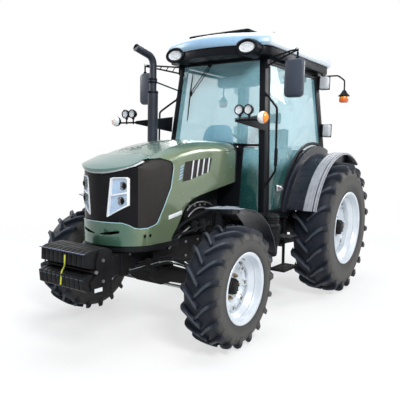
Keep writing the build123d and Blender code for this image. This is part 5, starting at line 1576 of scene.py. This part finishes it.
# Grab rails with a fat grip, and the windscreen wiper with its twin arm.
def makeRails():
    line = [(leanX(2.21) - 0.010, ahead(1.212), 2.215), (leanX(2.21) + 0.010, ahead(1.222), 2.203),
            (0.722, ahead(1.311), 2.075), (0.736, ahead(1.318), 2.052),
            (0.737, ahead(1.318), 2.030),
            (0.745, ahead(1.318), 1.480), (0.744, ahead(1.317), 1.455),
            (0.735, ahead(1.314), 1.440),
            (leanX(1.30) + 0.005, ahead(1.292), 1.300), (leanX(1.30) - 0.012, ahead(1.290), 1.288)]
    rail = [tube("rail", line, 0.011, 16, 3)]
    grip = [(0.011, 1.498), (0.0165, 1.502), (0.018, 1.508)]
    for step in range(9):
        z = 1.516 + step * 0.017
        grip += [(0.018, z), (0.0165, z + 0.003), (0.0165, z + 0.006), (0.018, z + 0.009)]
    grip += [(0.0165, 1.668), (0.011, 1.671)]
    rail.append(turned("grip", (0.745, ahead(1.318), 0), (0, 0, 1), grip, 20))
    for z, d in ((2.207, 1.216), (1.294, 1.291)):
        rail.append(drum("flange", (leanX(z) - 0.006, ahead(d), z), (leanX(z) + 0.008, ahead(d), z),
                         0.024, 20, bevel=0.003))
    rail = dress(joined("grabRailLeft", rail), "cabBlack", "chassis", "cab_black", "grab_rails")
    otherSide(rail, "grabRailRight", "chassis")


def onScreen(x, up, out=0.0):
    # a place on the windscreen: up is height above the cab floor plane, out is off the glass
    z = 1.0 + up
    return Vector((x, ahead(1.357 - 0.096 * up + out), z))


def makeWiper():
    pieces = [drum("boss", onScreen(-0.125, 1.545, 0.004), onScreen(-0.125, 1.545, 0.026), 0.024,
                   24, bevel=0.004),
              tube("armOne", [onScreen(-0.128, 1.545, 0.018), onScreen(-0.352, 1.262, 0.020)],
                   0.0050, 8),
              tube("armTwo", [onScreen(-0.100, 1.535, 0.018), onScreen(-0.338, 1.240, 0.020)],
                   0.0045, 8),
              block("armEnd", onScreen(-0.360, 1.225, 0.012),
                    onScreen(-0.330, 1.275, 0.024) + Vector((0, -0.006, 0)), 0.003),
              tube("bladeBow", [onScreen(-0.344, 1.465, 0.010), onScreen(-0.352, 1.350, 0.019),
                                onScreen(-0.358, 1.240, 0.020),
                                onScreen(-0.366, 1.100, 0.018), onScreen(-0.374, 0.970, 0.010)],
                                0.0045, 8),
              tube("blade", [onScreen(-0.344, 1.475, 0.008), onScreen(-0.374, 0.962, 0.008)],
                   0.0035, 8)]
    dress(joined("windscreenWiper", pieces), "cabBlack", "chassis", "cab_black", "wiper")


makeRails()
makeWiper()
print("rails and wiper ready")


# Seat: cushion, back and headrest swell like stuffed cloth, then get piping and seams.
seatLook = {"cushion": ((-0.225, -0.060, 1.432), (0.225, 0.350, 1.508)),
            "back": ((-0.205, -0.066, 1.560), (0.205, -0.010, 1.940)),
            "rest": ((-0.120, -0.060, 1.985), (0.120, -0.012, 2.130)), "pressure": 4.0,
            "cap": 0.022}


def swollen(piece, pressure, cap):
    # stuffed with air in a cloth simulation, whose result is kept
    piece.data = piece.data.copy()
    shape(piece, "REMESH", mode="VOXEL", voxel_size=0.006)
    before = [point.co.copy() for point in piece.data.vertices]
    choose(piece)
    cloth = piece.modifiers.new("Cloth", "CLOTH")
    cloth.settings.use_pressure = True
    cloth.settings.uniform_pressure_force = pressure
    cloth.settings.effector_weights.gravity = 0
    cloth.settings.quality = 5
    scene = bpy.context.scene
    for number in range(1, 21):
        scene.frame_set(number)
    bpy.ops.object.modifier_apply(modifier=cloth.name)
    scene.frame_set(1)
    for point, start in zip(piece.data.vertices, before):
        move = point.co - start
        if move.length > cap:
            point.co = start + move * (cap / move.length)
    shape(piece, "SMOOTH", factor=0.5, iterations=6)
    shape(piece, "SUBSURF", levels=1, render_levels=1)
    return piece


def makeSeat():
    # piece, its node, and each pad's low and high corners as (across, ahead, up)
    for name, node, places in (("seatCushionPad", "seat_cushion", [seatLook["cushion"]]),
                               ("seatBackPad", "seat_back", [seatLook["back"], seatLook["rest"]])):
        pads = []
        for low, high in places:
            pad = block("pad", (low[0], ahead(high[1]), low[2]), (high[0], ahead(low[1]), high[2]),
                        0.020, 3)
            pads.append(swollen(pad, seatLook["pressure"], seatLook["cap"]))
        pad = joined(name, pads)
        dress(pad, "seatCloth", "chassis", "seat_cloth", node, angle=60)
    piping = []
    for z in (1.464, 1.476):
        ring = [(x, ahead(d), z) for x, d in ((-0.19, 0.356), (0.19, 0.356), (0.232, 0.32),
                                              (0.232, -0.03), (0.19, -0.066),
                                              (-0.19, -0.066), (-0.232, -0.03), (-0.232, 0.32),
                                              (-0.19, 0.356))]
        piping.append(tube("piping", ring, 0.0035, 8, 3))
    for x in (-0.085, 0.085):
        piping.append(tube("seam", [(x, ahead(-0.004), 1.60), (x, ahead(-0.002), 1.75),
                                    (x, ahead(-0.004), 1.90)], 0.003, 8))
    dress(joined("seatPiping", piping), "darkPlastic", "chassis", "seat_cloth", angle=60)
    posts = [tube("post", [(x, ahead(-0.036), 1.92), (x, ahead(-0.036), 2.00)], 0.008,
                  12) for x in (-0.05, 0.05)]
    dress(joined("headrestPosts", posts), "handleSteel", "chassis", "steel_pins")
    bellows = []
    for step in range(5):
        z = 1.268 + step * 0.026
        bellows.append(block("fold", (-0.176 - 0.006 * (step % 2), ahead(0.306), z),
                             (0.176 + 0.006 * (step % 2), ahead(-0.046), z + 0.024), 0.010))
    for side in (-1, 1):
        bellows.append(block("armRest", (side * 0.262 - 0.028, ahead(0.245), 1.655),
                             (side * 0.262 + 0.028, ahead(-0.040), 1.700), 0.016, 3))
        bellows.append(block("armPost", (side * 0.250 - 0.012, ahead(0.000), 1.440),
                             (side * 0.250 + 0.012, ahead(-0.045), 1.670), 0.006))
    dress(joined("seatBellows", bellows), "darkPlastic", "chassis", "dark_plastic")


makeSeat()
print("seat ready")


# Dashboard, steering wheel, pedals, levers.
dashLook = {"wheelAhead": 1.035, "wheelHeight": 1.742, "wheelAxis": (0, 0.5, 0.87), "radius": 0.192}


def makeDash():
    sections = []
    for z, half, back, front in ((1.000, 0.150, 1.150, 1.262), (1.400, 0.160, 1.145, 1.262),
                                 (1.440, 0.215, 1.112, 1.250),
                                 (1.600, 0.222, 1.105, 1.236), (1.660, 0.205, 1.112, 1.226),
                                 (1.705, 0.165, 1.130, 1.212),
                                 (1.722, 0.110, 1.148, 1.196)):
        sections.append([Vector(point) for point in (
            (-half, ahead(back + 0.012), z), (-half + 0.030, ahead(back), z),
            (half - 0.030, ahead(back), z),
            (half, ahead(back + 0.012), z), (half, ahead(front - 0.030), z),
            (half * 0.55, ahead(front), z),
            (-half * 0.55, ahead(front), z), (-half, ahead(front - 0.030), z))])
    dash = loft("dashboard", sections)
    bevelled(dash, 0.010, 3, 25)
    dress(dash, "dashBlue", "chassis", "dark_plastic", "steering_column")
    dome = []
    for z, half, front in ((1.690, 0.200, 1.262), (1.780, 0.192, 1.252), (1.850, 0.172, 1.243),
                           (1.893, 0.135, 1.236),
                           (1.912, 0.085, 1.232)):
        dome.append([Vector(point) for point in (
            (-half, ahead(front - 0.032), z), (half, ahead(front - 0.032), z),
            (half * 0.92, ahead(front - 0.006), z),
            (half * 0.5, ahead(front), z), (-half * 0.5, ahead(front), z),
            (-half * 0.92, ahead(front - 0.006), z))])
    dress(bevelled(loft("dashDome", dome), 0.006, 3, 30), "dashDome", "chassis", "dark_plastic")
    inner = [block("postTrim", (-0.500, ahead(-0.070), 1.300), (-0.440, ahead(-0.200), 2.500),
                   0.012, 3),
             block("roofConsole", (-0.470, ahead(0.560), 2.400), (0.020, ahead(0.400), 2.520),
                   0.030, 4),
             block("airUnit", (-0.400, ahead(0.120), 2.490), (0.400, ahead(-0.130), 2.560), 0.016,
                   3)]
    for number in range(4):
        inner.append(turned("vent", (-0.36 + number * 0.11, ahead(0.563), 2.460), (0, -1, 0),
                            [(0, 0.006), (0.026, 0.004), (0.036, 0.010), (0.040, 0.0), (0, -0.004)],
                            24))
    dress(joined("roofConsole", inner), "dashBlue", "chassis", "dark_plastic")
    face = [turned("dial", (x, ahead(1.106), 1.640), (0, 0.95, 0.30),
                   [(0, 0.004), (r - 0.004, 0.004), (r, 0.008), (r, 0.0), (0, 0.0)], 28)
            for x, r in ((0.0, 0.046), (-0.095, 0.030), (0.095, 0.030))]
    face += [block("switch", (x - 0.010, ahead(1.106), 1.535), (x + 0.010, ahead(1.096), 1.565),
                   0.003) for x in (-0.16, -0.12, 0.12, 0.16)]
    dress(joined("dashFace", face), "maskBlack", "chassis", "dark_plastic")
    centre = Vector((0, ahead(dashLook["wheelAhead"]), dashLook["wheelHeight"]))
    axis = Vector(dashLook["wheelAxis"]).normalized()
    r = dashLook["radius"]
    rim = [(r + 0.012 * cos(turn),
            0.012 * sin(turn)) for turn in (2 * pi * step / 10 for step in range(11))]
    wheel = [turned("wheelRim", centre, axis, rim, 48),
             turned("hub", centre, axis, [(0, 0.006), (0.030, 0.006), (0.045, 0.0), (0.048, -0.012),
                                          (0.040, -0.022), (0, -0.022)], 32)]
    across = Vector((1, 0, 0))
    along = axis.cross(across)
    for turn in (90, 210, 330):
        out = across * cos(radians(turn)) - along * sin(radians(turn))
        wheel.append(tube("spoke", [centre + out * 0.030 - axis * 0.014,
                                    centre + out * 0.110 - axis * 0.014,
                                    centre + out * (r - 0.004)], 0.010, 12))
    knobOut = across * cos(radians(150)) - along * sin(radians(150))
    wheel.append(turned("knob", centre + knobOut * (r - 0.004), axis,
                        [(0.007, 0.008), (0.008, 0.022), (0.020, 0.034), (0.020, 0.046),
                         (0.010, 0.054), (0, 0.055)], 20))
    dress(joined("steeringWheel", wheel), "maskBlack", "chassis", "dark_plastic", angle=50)
    column = [drum("column", (0, ahead(1.130), 1.560), (0, ahead(1.043), 1.725), 0.030, 24, 0.024,
                   bevel=0.003)]
    for side in (-1, 1):
        column.append(tube("stalkLever", [(side * 0.02, ahead(1.082), 1.655),
                                          (side * 0.110, ahead(1.060), 1.668),
                                          (side * 0.165, ahead(1.050), 1.675)], 0.006, 10))
    for x, wide in ((-0.230, 0.040), (0.205, 0.034), (0.275, 0.034)):
        column.append(tube("pedalArm", [(x, ahead(1.200), 1.010), (x, ahead(1.215), 1.075),
                                        (x, ahead(1.170), 1.125)], 0.009, 10))
        column.append(block("pedal", (x - wide, ahead(1.178), 1.100),
                            (x + wide, ahead(1.150), 1.150), 0.006))
    dress(joined("columnAndPedals", column), "darkPlastic", "chassis", "dark_plastic")
    levers, knobs = [], []
    for x, d, tall in ((-0.39, 0.18, 0.17), (-0.39, 0.26, 0.15), (-0.39, 0.34, 0.16),
                       (0.39, 0.20, 0.12), (0.39, 0.30, 0.18), (-0.12, 0.92, 0.55)):
        foot = 1.000 if abs(x) < 0.2 else 1.500
        levers.append(tube("lever", [(x, ahead(d), foot),
                                     (x * 0.99, ahead(d + 0.02), foot + tall * 0.6),
                                     (x * 0.97, ahead(d + 0.03), foot + tall)], 0.006, 10))
        knobs.append(turned("knob", (x * 0.97, ahead(d + 0.03), foot + tall), (0, 0, 1),
                            [(0, -0.006), (0.011, -0.004), (0.016, 0.010), (0.015, 0.026),
                             (0.008, 0.034), (0, 0.035)], 18))
    dress(joined("levers", levers), "handleSteel", "chassis", "steel_pins")
    dress(joined("leverKnobs", knobs), "maskBlack", "chassis", "dark_plastic", angle=60)


makeDash()
print("dashboard ready")


# Thin skins over chosen faces of a solid: the seals round the door panes.
def skinOver(name, nodeName, body, finish, slotName, kept, lift):
    piece = mergedCopy(name, nodeName)
    bpy.ops.mesh.select_mode(type="FACE")
    pickFaces(piece, lambda centre, normal: not kept(centre, normal))
    bpy.ops.mesh.delete(type="FACE")
    stopEditing()
    shape(piece, "SOLIDIFY", thickness=lift, offset=1.0)
    return dress(piece, finish, body, slotName)


for side in ("left", "right"):
    skinOver(f"doorSeal{side.title()}", f"door_glass_{side}", f"door_{side}", "sealGrey",
             "dark_plastic",
             lambda centre, normal: abs(normal.x) < 0.6, 0.0022)


def makeSteps():
    treads = []
    for low, high, z in ((0.604, 0.786, 0.743), (0.624, 0.796, 0.419)):
        first, last = (0.790, 1.010) if z > 0.7 else (0.800, 1.110)
        rows = 6
        for row in range(rows):
            d = first + (last - first) * (row + 0.5) / rows
            for column in range(4):
                x = low + (high - low) * (column + 0.5) / 4
                treads.append(block("stud", (x - 0.016, ahead(d) - 0.004, z - 0.002),
                                    (x + 0.016, ahead(d) + 0.004, z + 0.004)))
    studs = joined("stepTreadsLeft", treads)
    dress(studs, "steelPins", "chassis", "chassis_dark")
    otherSide(studs, "stepTreadsRight", "chassis")


makeSteps()


# Air cleaner with its ribbed cap, band and clips.
def makeCleaner():
    x, y = 0.760, ahead(1.388)
    body = turned("cleaner", (x, y, 0), (0, 0, 1), [
        (0, 0.612), (0.052, 0.612), (0.064, 0.620), (0.066, 0.640), (0.071, 0.720), (0.083, 0.742),
        (0.087, 0.800),
        (0.091, 0.895), (0.091, 0.922), (0.080, 0.938), (0.074, 0.944), (0.074, 0.950),
        (0.079, 0.954), (0.079, 0.962),
        (0.074, 0.966), (0.074, 0.972), (0.079, 0.976), (0.079, 0.984), (0.074, 0.988),
        (0.074, 0.994), (0.079, 0.998),
        (0.078, 1.008), (0.066, 1.026), (0.050, 1.036), (0, 1.038)], 40)
    parts = [body]
    for turn in range(0, 360, 30):
        c, s = cos(radians(turn)), sin(radians(turn))
        parts.append(tube("rib", [(x + 0.086 * c, y + 0.086 * s, 0.765),
                                  (x + 0.091 * c, y + 0.091 * s, 0.880)], 0.003, 6))
    dress(joined("airCleanerBody", parts), "darkPlastic", "chassis", "dark_plastic", "air_cleaner")
    bands = []
    for z, r in ((0.733, 0.080), (0.905, 0.0925), (0.652, 0.0685)):
        bands.append(turned("band", (x, y, z), (0, 0, 1),
                            [(r - 0.006, -0.011), (r, -0.011), (r, 0.011), (r - 0.006, 0.011)], 36))
    for turn in (20, 140, 260):
        c, s = cos(radians(turn)), sin(radians(turn))
        bands.append(tube("clip", [(x + 0.093 * c, y + 0.093 * s, 0.890),
                                   (x + 0.096 * c, y + 0.096 * s, 0.915),
                                   (x + 0.090 * c, y + 0.090 * s, 0.940)], 0.003, 8))
    bands.append(block("armOut", (0.560, y - 0.018, 0.790), (0.690, y + 0.028, 0.840), 0.006))
    bands.append(block("armPlate", (0.553, ahead(1.405), 0.762), (0.579, ahead(1.242), 0.878),
                       0.004))
    bands.append(tube("duct", [(0.700, y, 1.000), (0.620, y, 1.010), (0.520, y, 0.985),
                               (0.400, y, 0.960), (0.240, y, 0.980)], 0.032, 16))
    dress(joined("airCleanerBands", bands), "chassisDark", "chassis", "chassis_dark")


makeCleaner()
print("steps and air cleaner ready")


# Engine bay: pipes, hoses, filters, fan drive and steering cylinder.
def makeEngineBay():
    black, metal, grey = [], [], []
    for s in (-1, 1):
        black.append(tube("hose", route(s, (0.200, 2.20, 1.28), (0.270, 2.30, 1.24),
                                        (0.285, 2.42, 1.08), (0.250, 2.50, 0.94)), 0.022, 14))
        black.append(tube("hose", route(s, (0.236, 1.62, 1.14), (0.290, 1.70, 1.08),
                                        (0.300, 1.95, 1.05), (0.282, 2.22, 0.98),
                                        (0.240, 2.34, 0.88)), 0.014, 12))
        black.append(tube("hose", route(s, (0.240, 1.56, 1.00), (0.310, 1.80, 0.93),
                                        (0.300, 2.10, 0.90), (0.262, 2.40, 0.86),
                                        (0.245, 2.66, 0.80)), 0.010, 10))
        metal.append(tube("pipe", route(s, (0.238, 1.66, 1.10), (0.252, 1.78, 1.15),
                                        (0.250, 2.02, 1.15), (0.236, 2.08, 1.08)), 0.006, 8))
        metal.append(tube("pipe", route(s, (0.238, 1.70, 1.06), (0.256, 1.84, 1.10),
                                        (0.254, 2.00, 1.09), (0.236, 2.06, 1.02)), 0.006, 8))
        metal.append(tube("pipe", route(s, (0.236, 1.80, 0.97), (0.262, 1.92, 0.96),
                                        (0.262, 2.18, 0.90), (0.244, 2.36, 0.76)), 0.008, 10))
        for d, z, r in ((1.90, 0.985, 0.042), (2.03, 0.985, 0.038)):
            grey.append(turned("filter", (s * 0.277, ahead(d), z - 0.06), (0, 0, 1), [
                (0, -0.045), (r * 0.7, -0.045), (r, -0.030), (r, 0.040), (r * 0.8, 0.046),
                (r * 0.8, 0.060), (0, 0.060)], 24))
        grey.append(drum("alternator", (s * 0.215, ahead(2.230), 1.190),
                         (s * 0.215, ahead(2.330), 1.190), 0.062, 28, bevel=0.008))
        metal.append(drum("pulley", (s * 0.215, ahead(2.330), 1.190),
                          (s * 0.215, ahead(2.352), 1.190), 0.036, 24, bevel=0.004))
        for number in range(6):
            d = 1.62 + number * 0.085
            metal.append(sideDrum("bolt", s, (0.228, 0.240), d, 1.120, 0.011))
            metal.append(sideDrum("bolt", s, (0.228, 0.240), d, 0.930, 0.011))
        for number in range(7):
            d = 1.72 + number * 0.19
            metal.append(sideDrum("frameBolt", s, (0.234, 0.246), d, 0.790, 0.012))
            metal.append(sideDrum("frameBolt", s, (0.234, 0.246), d, 0.660, 0.012))
        black.append(sideBlock("bracket", s, (0.236, 0.300), (2.62, 2.56), (0.700, 0.870), 0.006))
        for number in range(6):
            z = 1.180 + number * 0.024
            grey.append(sideBlock("headRib", s, (0.184, 0.200), (2.18, 1.52), (z, z + 0.010)))
    # manifold stubs under the exhaust elbow, radiator with its core behind the mask
    for number in range(4):
        grey.append(tube("manifold", [(-0.184, ahead(1.60 + number * 0.14), 1.220),
                                      (-0.230, ahead(1.62 + number * 0.13), 1.226),
                                      (-0.262, ahead(1.70 + number * 0.06), 1.232)], 0.020, 12))
    grey.append(tube("manifoldLog", [(-0.264, ahead(1.60), 1.232), (-0.264, ahead(2.05), 1.232)],
                     0.028, 16))
    black.append(block("radiator", (-0.250, ahead(2.640), 0.870), (0.250, ahead(2.560), 1.360),
                       0.010))
    for number in range(14):
        z = 0.905 + number * 0.032
        metal.append(block("coreFin", (-0.225, ahead(2.646), z), (0.225, ahead(2.640), z + 0.006)))
    black.append(turned("fan", (0, ahead(2.500), 1.120), (0, -1, 0),
                        [(0, -0.02), (0.060, -0.02), (0.205, 0.010), (0.215, 0.018), (0.215, 0.028),
                         (0.060, 0.02), (0, 0.03)], 32))
    dress(joined("engineHoses", black), "darkPlastic", "chassis", "dark_plastic", angle=50)
    dress(joined("enginePipes", metal), "steelPins", "chassis", "steel_pins", angle=50)
    dress(joined("engineFittings", grey), "castingGrey", "chassis", "casting_grey", angle=50)
    # bumper beam under the chin follows the hood's plan; the frame's square corners are cut back to it
    curve = [(0.352 * sin(radians(turn)), 2.700 + 0.272 * cos(radians(turn))) for turn in range(0,
            91, 9)]
    outline = [(-x, ahead(d), 0.808) for x, d in reversed(curve)] + [(x, ahead(d), 0.808) for x,
            d in curve[1:]]
    outline += [(0.352, ahead(2.35), 0.808), (0.318, ahead(2.35), 0.808)]
    outline += [(x * 0.90, ahead(d - 0.040), 0.808) for x, d in reversed(curve)]
    outline += [(-x * 0.90, ahead(d - 0.040), 0.808) for x, d in curve[1:]]
    outline += [(-0.318, ahead(2.35), 0.808), (-0.352, ahead(2.35), 0.808)]
    bumper = plate("bumperBeam", outline, (0, 0, 0.062), 0.008)
    dress(bumper, "darkPlastic", "chassis", "chassis_dark")
    nose = bpy.data.objects["frontFrameShape"]
    for side in (-1, 1):
        corner = [(side * x * 0.97, ahead(d - 0.010), 0.80) for x, d in curve]
        corner += [(side * 0.42, ahead(2.700), 0.80), (side * 0.42, ahead(3.10), 0.80),
                   (0.0, ahead(3.10), 0.80)]
        carved(nose, plate("corner", corner, (0, 0, 0.12)))
    # pipes and hoses run along the frame to the axle
    bright, lines = [], []
    for number in range(4):
        lift = 0.021 * number
        for s in (-1, 1):
            (bright if number == 1 else lines).append(tube("axlePipe",
                    [(s * 0.252, ahead(2.90 - 0.04 * number), 0.640 + lift),
                     (s * (0.262 + 0.01 * number), ahead(2.60), 0.655 + lift),
                                           (s * 0.300, ahead(2.42), 0.650 + lift),
                                           (s * 0.380, ahead(2.375), 0.640 + lift * 0.6),
                                           (s * (0.500 + 0.02 * number), ahead(2.372), 0.622)],
                                           0.005 if number == 1 else 0.008, 8))
    dress(joined("axlePipes", bright), "steelPins", "chassis", "steel_pins", angle=50)
    dress(joined("axleHoses", lines), "darkPlastic", "chassis", "dark_plastic", angle=50)
    fittings = []
    for s in (-1, 1):
        fittings.append(sideBlock("clampBlock", s, (0.238, 0.290), (2.70, 2.655), (0.630, 0.730),
                                  0.006))
        for x, d, z in ((0.330, 2.352, 0.560), (0.430, 2.352, 0.552), (0.530, 2.352, 0.545),
                        (0.330, 2.352, 0.478), (0.430, 2.352, 0.486)):
            fittings.append(drum("axleBolt", (s * x, ahead(2.243), z), (s * x, ahead(2.306), z),
                                 0.013, 6))
    fittings.append(turned("axleCover", (0.060, ahead(2.243), 0.515), (0, -1, 0), [
        (0.0, 0.118), (0.050, 0.116), (0.080, 0.104), (0.098, 0.080), (0.106, 0.050), (0.106, 0.0),
        (0.0, 0.0)], 32))
    for number in range(10):
        turn = 2 * pi * number / 10
        fittings.append(drum("coverBolt", (0.060 + 0.093 * cos(turn), ahead(2.300),
                                           0.515 + 0.093 * sin(turn)),
                             (0.060 + 0.093 * cos(turn), ahead(2.338), 0.515 + 0.093 * sin(turn)),
                             0.008, 6))
    dress(joined("axleFittings", fittings), "castingGrey", "chassis", "casting_grey")
    # the steering cylinder behind the axle beam
    cylinder = [drum("barrel", (-0.210, ahead(2.128), 0.486), (0.210, ahead(2.128), 0.486), 0.014,
                     20, bevel=0.003)]
    dress(joined("steeringCylinder", cylinder), "chassisDark", "chassis", "chassis_dark")


makeEngineBay()
print("engine bay ready")


# Small trim on hood, doors and weights.
def makeTrim():
    chinBolts = [hexBolt("chinBolt", (0.352 - 0.010 * n, ahead(2.735 + 0.055 * n), 0.940), 0.010,
                         0.006) for n in range(2)]
    chin = joined("chinBoltsLeft", chinBolts)
    dress(chin, "maskBlack", "hood", "dark_plastic")
    otherSide(chin, "chinBoltsRight", "hood")
    # reflector strip low on the hood's side
    strip = plate("reflectorStripLeft", route(1, (0.3565, 2.505, 1.048), (0.3565, 2.318, 1.078),
                                              (0.3565, 2.318, 1.112), (0.3565, 2.505, 1.082)),
                                              (0.0016, 0, 0), 0.0005)
    dress(strip, "lampWhite", "hood", "lamp_lens")
    otherSide(strip, "reflectorStripRight", "hood")
    # door handles
    handle = [block("handleBase", (leanX(1.26) - 0.004, ahead(1.055), 1.225),
                    (leanX(1.26) + 0.010, ahead(0.930), 1.290), 0.006),
              tube("handleBow", [(leanX(1.29) + 0.004, ahead(1.045), 1.288),
                                 (leanX(1.29) + 0.034, ahead(1.030), 1.280),
                                 (leanX(1.24) + 0.036, ahead(0.960), 1.240),
                                 (leanX(1.23) + 0.004, ahead(0.945), 1.232)], 0.009, 12)]
    handle = joined("doorHandleLeft", handle)
    dress(handle, "handleSteel", "door_left", "steel_pins")
    otherSide(handle, "doorHandleRight", "door_right")
    # weights: nuts and carrying rod, painted highlights as pale strips on the slabs' edges, blank strip
    # and strap
    parts = []
    for side in (-1, 1):
        for d, z in ((3.200, 0.640), (3.200, 0.800), (3.270, 0.720)):
            parts.append(sideDrum("nut", side, (0.276, 0.290), d, z, 0.014))
    dress(joined("weightNuts", parts), "steelPins", "chassis", "steel_pins")
    rod = drum("weightRod", (-0.270, ahead(3.290), 0.724), (0.270, ahead(3.290), 0.724), 0.011, 16)
    dress(rod, "chassisDark", "chassis", "chassis_dark")
    edges = []
    for number in range(10):
        x = (number - 4.5) * 0.052
        for d, z in ((3.372, 0.862), (3.378, 0.668)):
            edges.append(block("weightEdge", (x - 0.020, ahead(d - 0.001), z),
                               (x + 0.020, ahead(d - 0.022), z + 0.0045), 0.002))
    dress(joined("weightEdgeHighlights", edges), "paintedHighlightBlue", "chassis", "casting_grey")
    blank = plate("weightStrip", route(1, (0.2802, 3.285, 0.565), (0.2802, 3.205, 0.565),
                                       (0.2802, 3.205, 0.595), (0.2802, 3.285, 0.595)),
                                       (0.0014, 0, 0))
    dress(blank, "lampWhite", "chassis", "steel_pins")
    strap = [tube("strap", route(1, (0.055, 3.372, 0.840), (0.060, 3.380, 0.790),
                                 (0.020, 3.345, 0.745), (-0.010, 3.352, 0.700),
                                 (0.015, 3.378, 0.660), (0.010, 3.380, 0.605)), 0.006, 10)]
    dress(joined("weightStrap", strap), "strapYellow", "chassis", "dark_plastic")
    # yellow angle behind the front wheel
    yellow = block("toolHolder", (0.6230, ahead(1.135), 0.560), (0.6290, ahead(1.095), 0.680),
                   0.001)
    dress(yellow, "strapYellow", "chassis", "dark_plastic")


makeTrim()
print("trim ready")


# Rear: tail lamps, couplers, axle housings and bolts, power take-off guard, window handle, wall ribs.
def makeRear():
    reds, ambers, blacks, metals, castings = [], [], [], [], []
    for s in (-1, 1):
        for x, width, group in ((0.790, 0.060, reds), (0.862, 0.050, ambers)):
            group.append(sideBlock("tailLens", s, (x, x + width), (-0.4485, -0.462), (1.392, 1.452),
                                   0.005))
        near, far = sorted((s * 0.780, s * 0.924))
        blacks.append(block("tailHousing", (near, ahead(-0.425), 1.380),
                            (far, ahead(-0.4500), 1.464), 0.006))
        blacks.append(block("tailFoot", (near + 0.04, ahead(-0.405), 1.440),
                            (far - 0.04, ahead(-0.445), 1.500), 0.004))
        # couplers beside the top link bracket
        for number in range(2):
            x, z = s * (0.120 + 0.038 * number), 0.845
            metals.append(drum("coupler", (x, ahead(-0.188), z), (x, ahead(-0.238), z), 0.014, 18,
                               bevel=0.003))
            blacks.append(drum("couplerCap", (x, ahead(-0.238), z), (x, ahead(-0.250), z), 0.017,
                               18, bevel=0.003))
        for number in range(5):
            turn = 2 * pi * number / 5 + 0.3
            metals.append(drum("trumpetBolt", (s * 0.716, ahead(0.150 * cos(turn)),
                                               0.765 + 0.150 * sin(turn)),
                               (s * 0.730, ahead(0.150 * cos(turn)), 0.765 + 0.150 * sin(turn)),
                               0.011, 6))
        for number in range(8):
            turn = 2 * pi * number / 8
            metals.append(drum("flangeBolt", (s * 0.176, ahead(0.148 * cos(turn)),
                                              0.765 + 0.120 * sin(turn)),
                               (s * 0.190, ahead(0.148 * cos(turn)), 0.765 + 0.120 * sin(turn)),
                               0.011, 6))
        castings.append(turned("brakeHousing", (s * 0.165, ahead(0.0), 0.765), (s, 0, 0), [
            (0.0, 0.0), (0.165, 0.0), (0.165, 0.014), (0.150, 0.030), (0.140, 0.090),
            (0.133, 0.100), (0.0, 0.100)], 36))
        castings.append(turned("trumpetRing", (s * 0.400, ahead(0.0), 0.765), (s, 0, 0), [
            (0.130, 0.0), (0.140, 0.004), (0.140, 0.018), (0.130, 0.022)], 36))
    for number in range(6):
        turn = 2 * pi * number / 6
        metals.append(drum("shaftBolt", (0.062 * cos(turn), ahead(-0.215),
                                         0.600 + 0.062 * sin(turn)),
                           (0.062 * cos(turn), ahead(-0.226), 0.600 + 0.062 * sin(turn)), 0.007, 6))
    guard = [Vector((0.092 * cos(radians(turn)), 0,
                     0.604 + 0.092 * sin(radians(turn)))) for turn in range(-20, 201, 20)]
    ring = [(point.x, ahead(-0.192), point.z) for point in guard]
    ring += [(point.x * 0.95, ahead(-0.192),
              0.604 + (point.z - 0.604) * 0.95) for point in reversed(guard)]
    blacks.append(plate("shaftGuard", ring, (0, 0.108, 0), 0.001))
    for number in range(8):
        d = 0.30 + number * 0.13
        for s in (-1, 1):
            metals.append(sideDrum("caseBolt", s, (0.163, 0.174), d, 0.900, 0.011))
    handle = [block("catch", (-0.030, ahead(-0.262), 1.700), (0.030, ahead(-0.284), 1.716), 0.004),
              tube("catchBow", route(1, (-0.070, -0.286, 1.735), (-0.070, -0.312, 1.735),
                                     (0.070, -0.312, 1.735), (0.070, -0.286, 1.735)), 0.007, 10)]
    dress(joined("rearWindowHandle", handle), "cabBlack", "rear_window", "cab_black")
    panel = [block("rearRib", (-0.42, ahead(-0.290), z), (0.42, ahead(-0.2955), z + 0.030),
                   0.003) for z in (1.22, 1.34, 1.46)]
    panel += [block("rearStrip", (-0.560, ahead(-0.290), 1.600), (0.560, ahead(-0.300), 1.650),
                    0.006)]
    blacks += panel
    dress(joined("rearBlackParts", blacks), "darkPlastic", "chassis", "dark_plastic", angle=45)
    dress(joined("tailLampReds", reds), "redLens", "chassis", "lamp_lens")
    dress(joined("tailLampAmbers", ambers), "amberLens", "chassis", "amber_lens")
    dress(joined("rearFittings", metals), "steelPins", "chassis", "steel_pins", angle=45)
    dress(joined("axleHousings", castings), "castingGrey", "chassis", "casting_grey", angle=40)


makeRear()
print("rear ready")


# Tank straps, battery box ribs, cab mounts and the tank's cap.
def makeUnderCab():
    straps, caps = [], []
    for s in (-1, 1):
        for d in (0.760, 1.100):
            straps.append(sideBlock("strapFace", s, (0.588, 0.5935), (d + 0.020, d - 0.020),
                                    (0.598, 0.928)))
            straps.append(sideBlock("strapFoot", s, (0.268, 0.5935), (d + 0.020, d - 0.020),
                                    (0.5955, 0.601)))
        for number in range(5):
            z = 0.650 + number * 0.052
            straps.append(sideBlock("boxRib", s, (0.588, 0.592), (1.060, 0.800), (z, z + 0.016),
                                    0.001))
        caps.append(drum("cabMount", (s * 0.430, ahead(1.290), 0.880),
                         (s * 0.430, ahead(1.290), 0.942), 0.046, 28, bevel=0.008))
        caps.append(drum("cabMount", (s * 0.430, ahead(-0.200), 0.905),
                         (s * 0.430, ahead(-0.200), 0.942), 0.046, 28, bevel=0.008))
    caps.append(drum("tankCap", (0.500, ahead(1.228), 0.860), (0.500, ahead(1.262), 0.868), 0.034,
                     28, bevel=0.005))
    dress(joined("tankStraps", straps), "chassisDark", "chassis", "chassis_dark")
    dress(joined("cabMounts", caps), "darkPlastic", "chassis", "dark_plastic")


makeUnderCab()
print("under the cab ready")
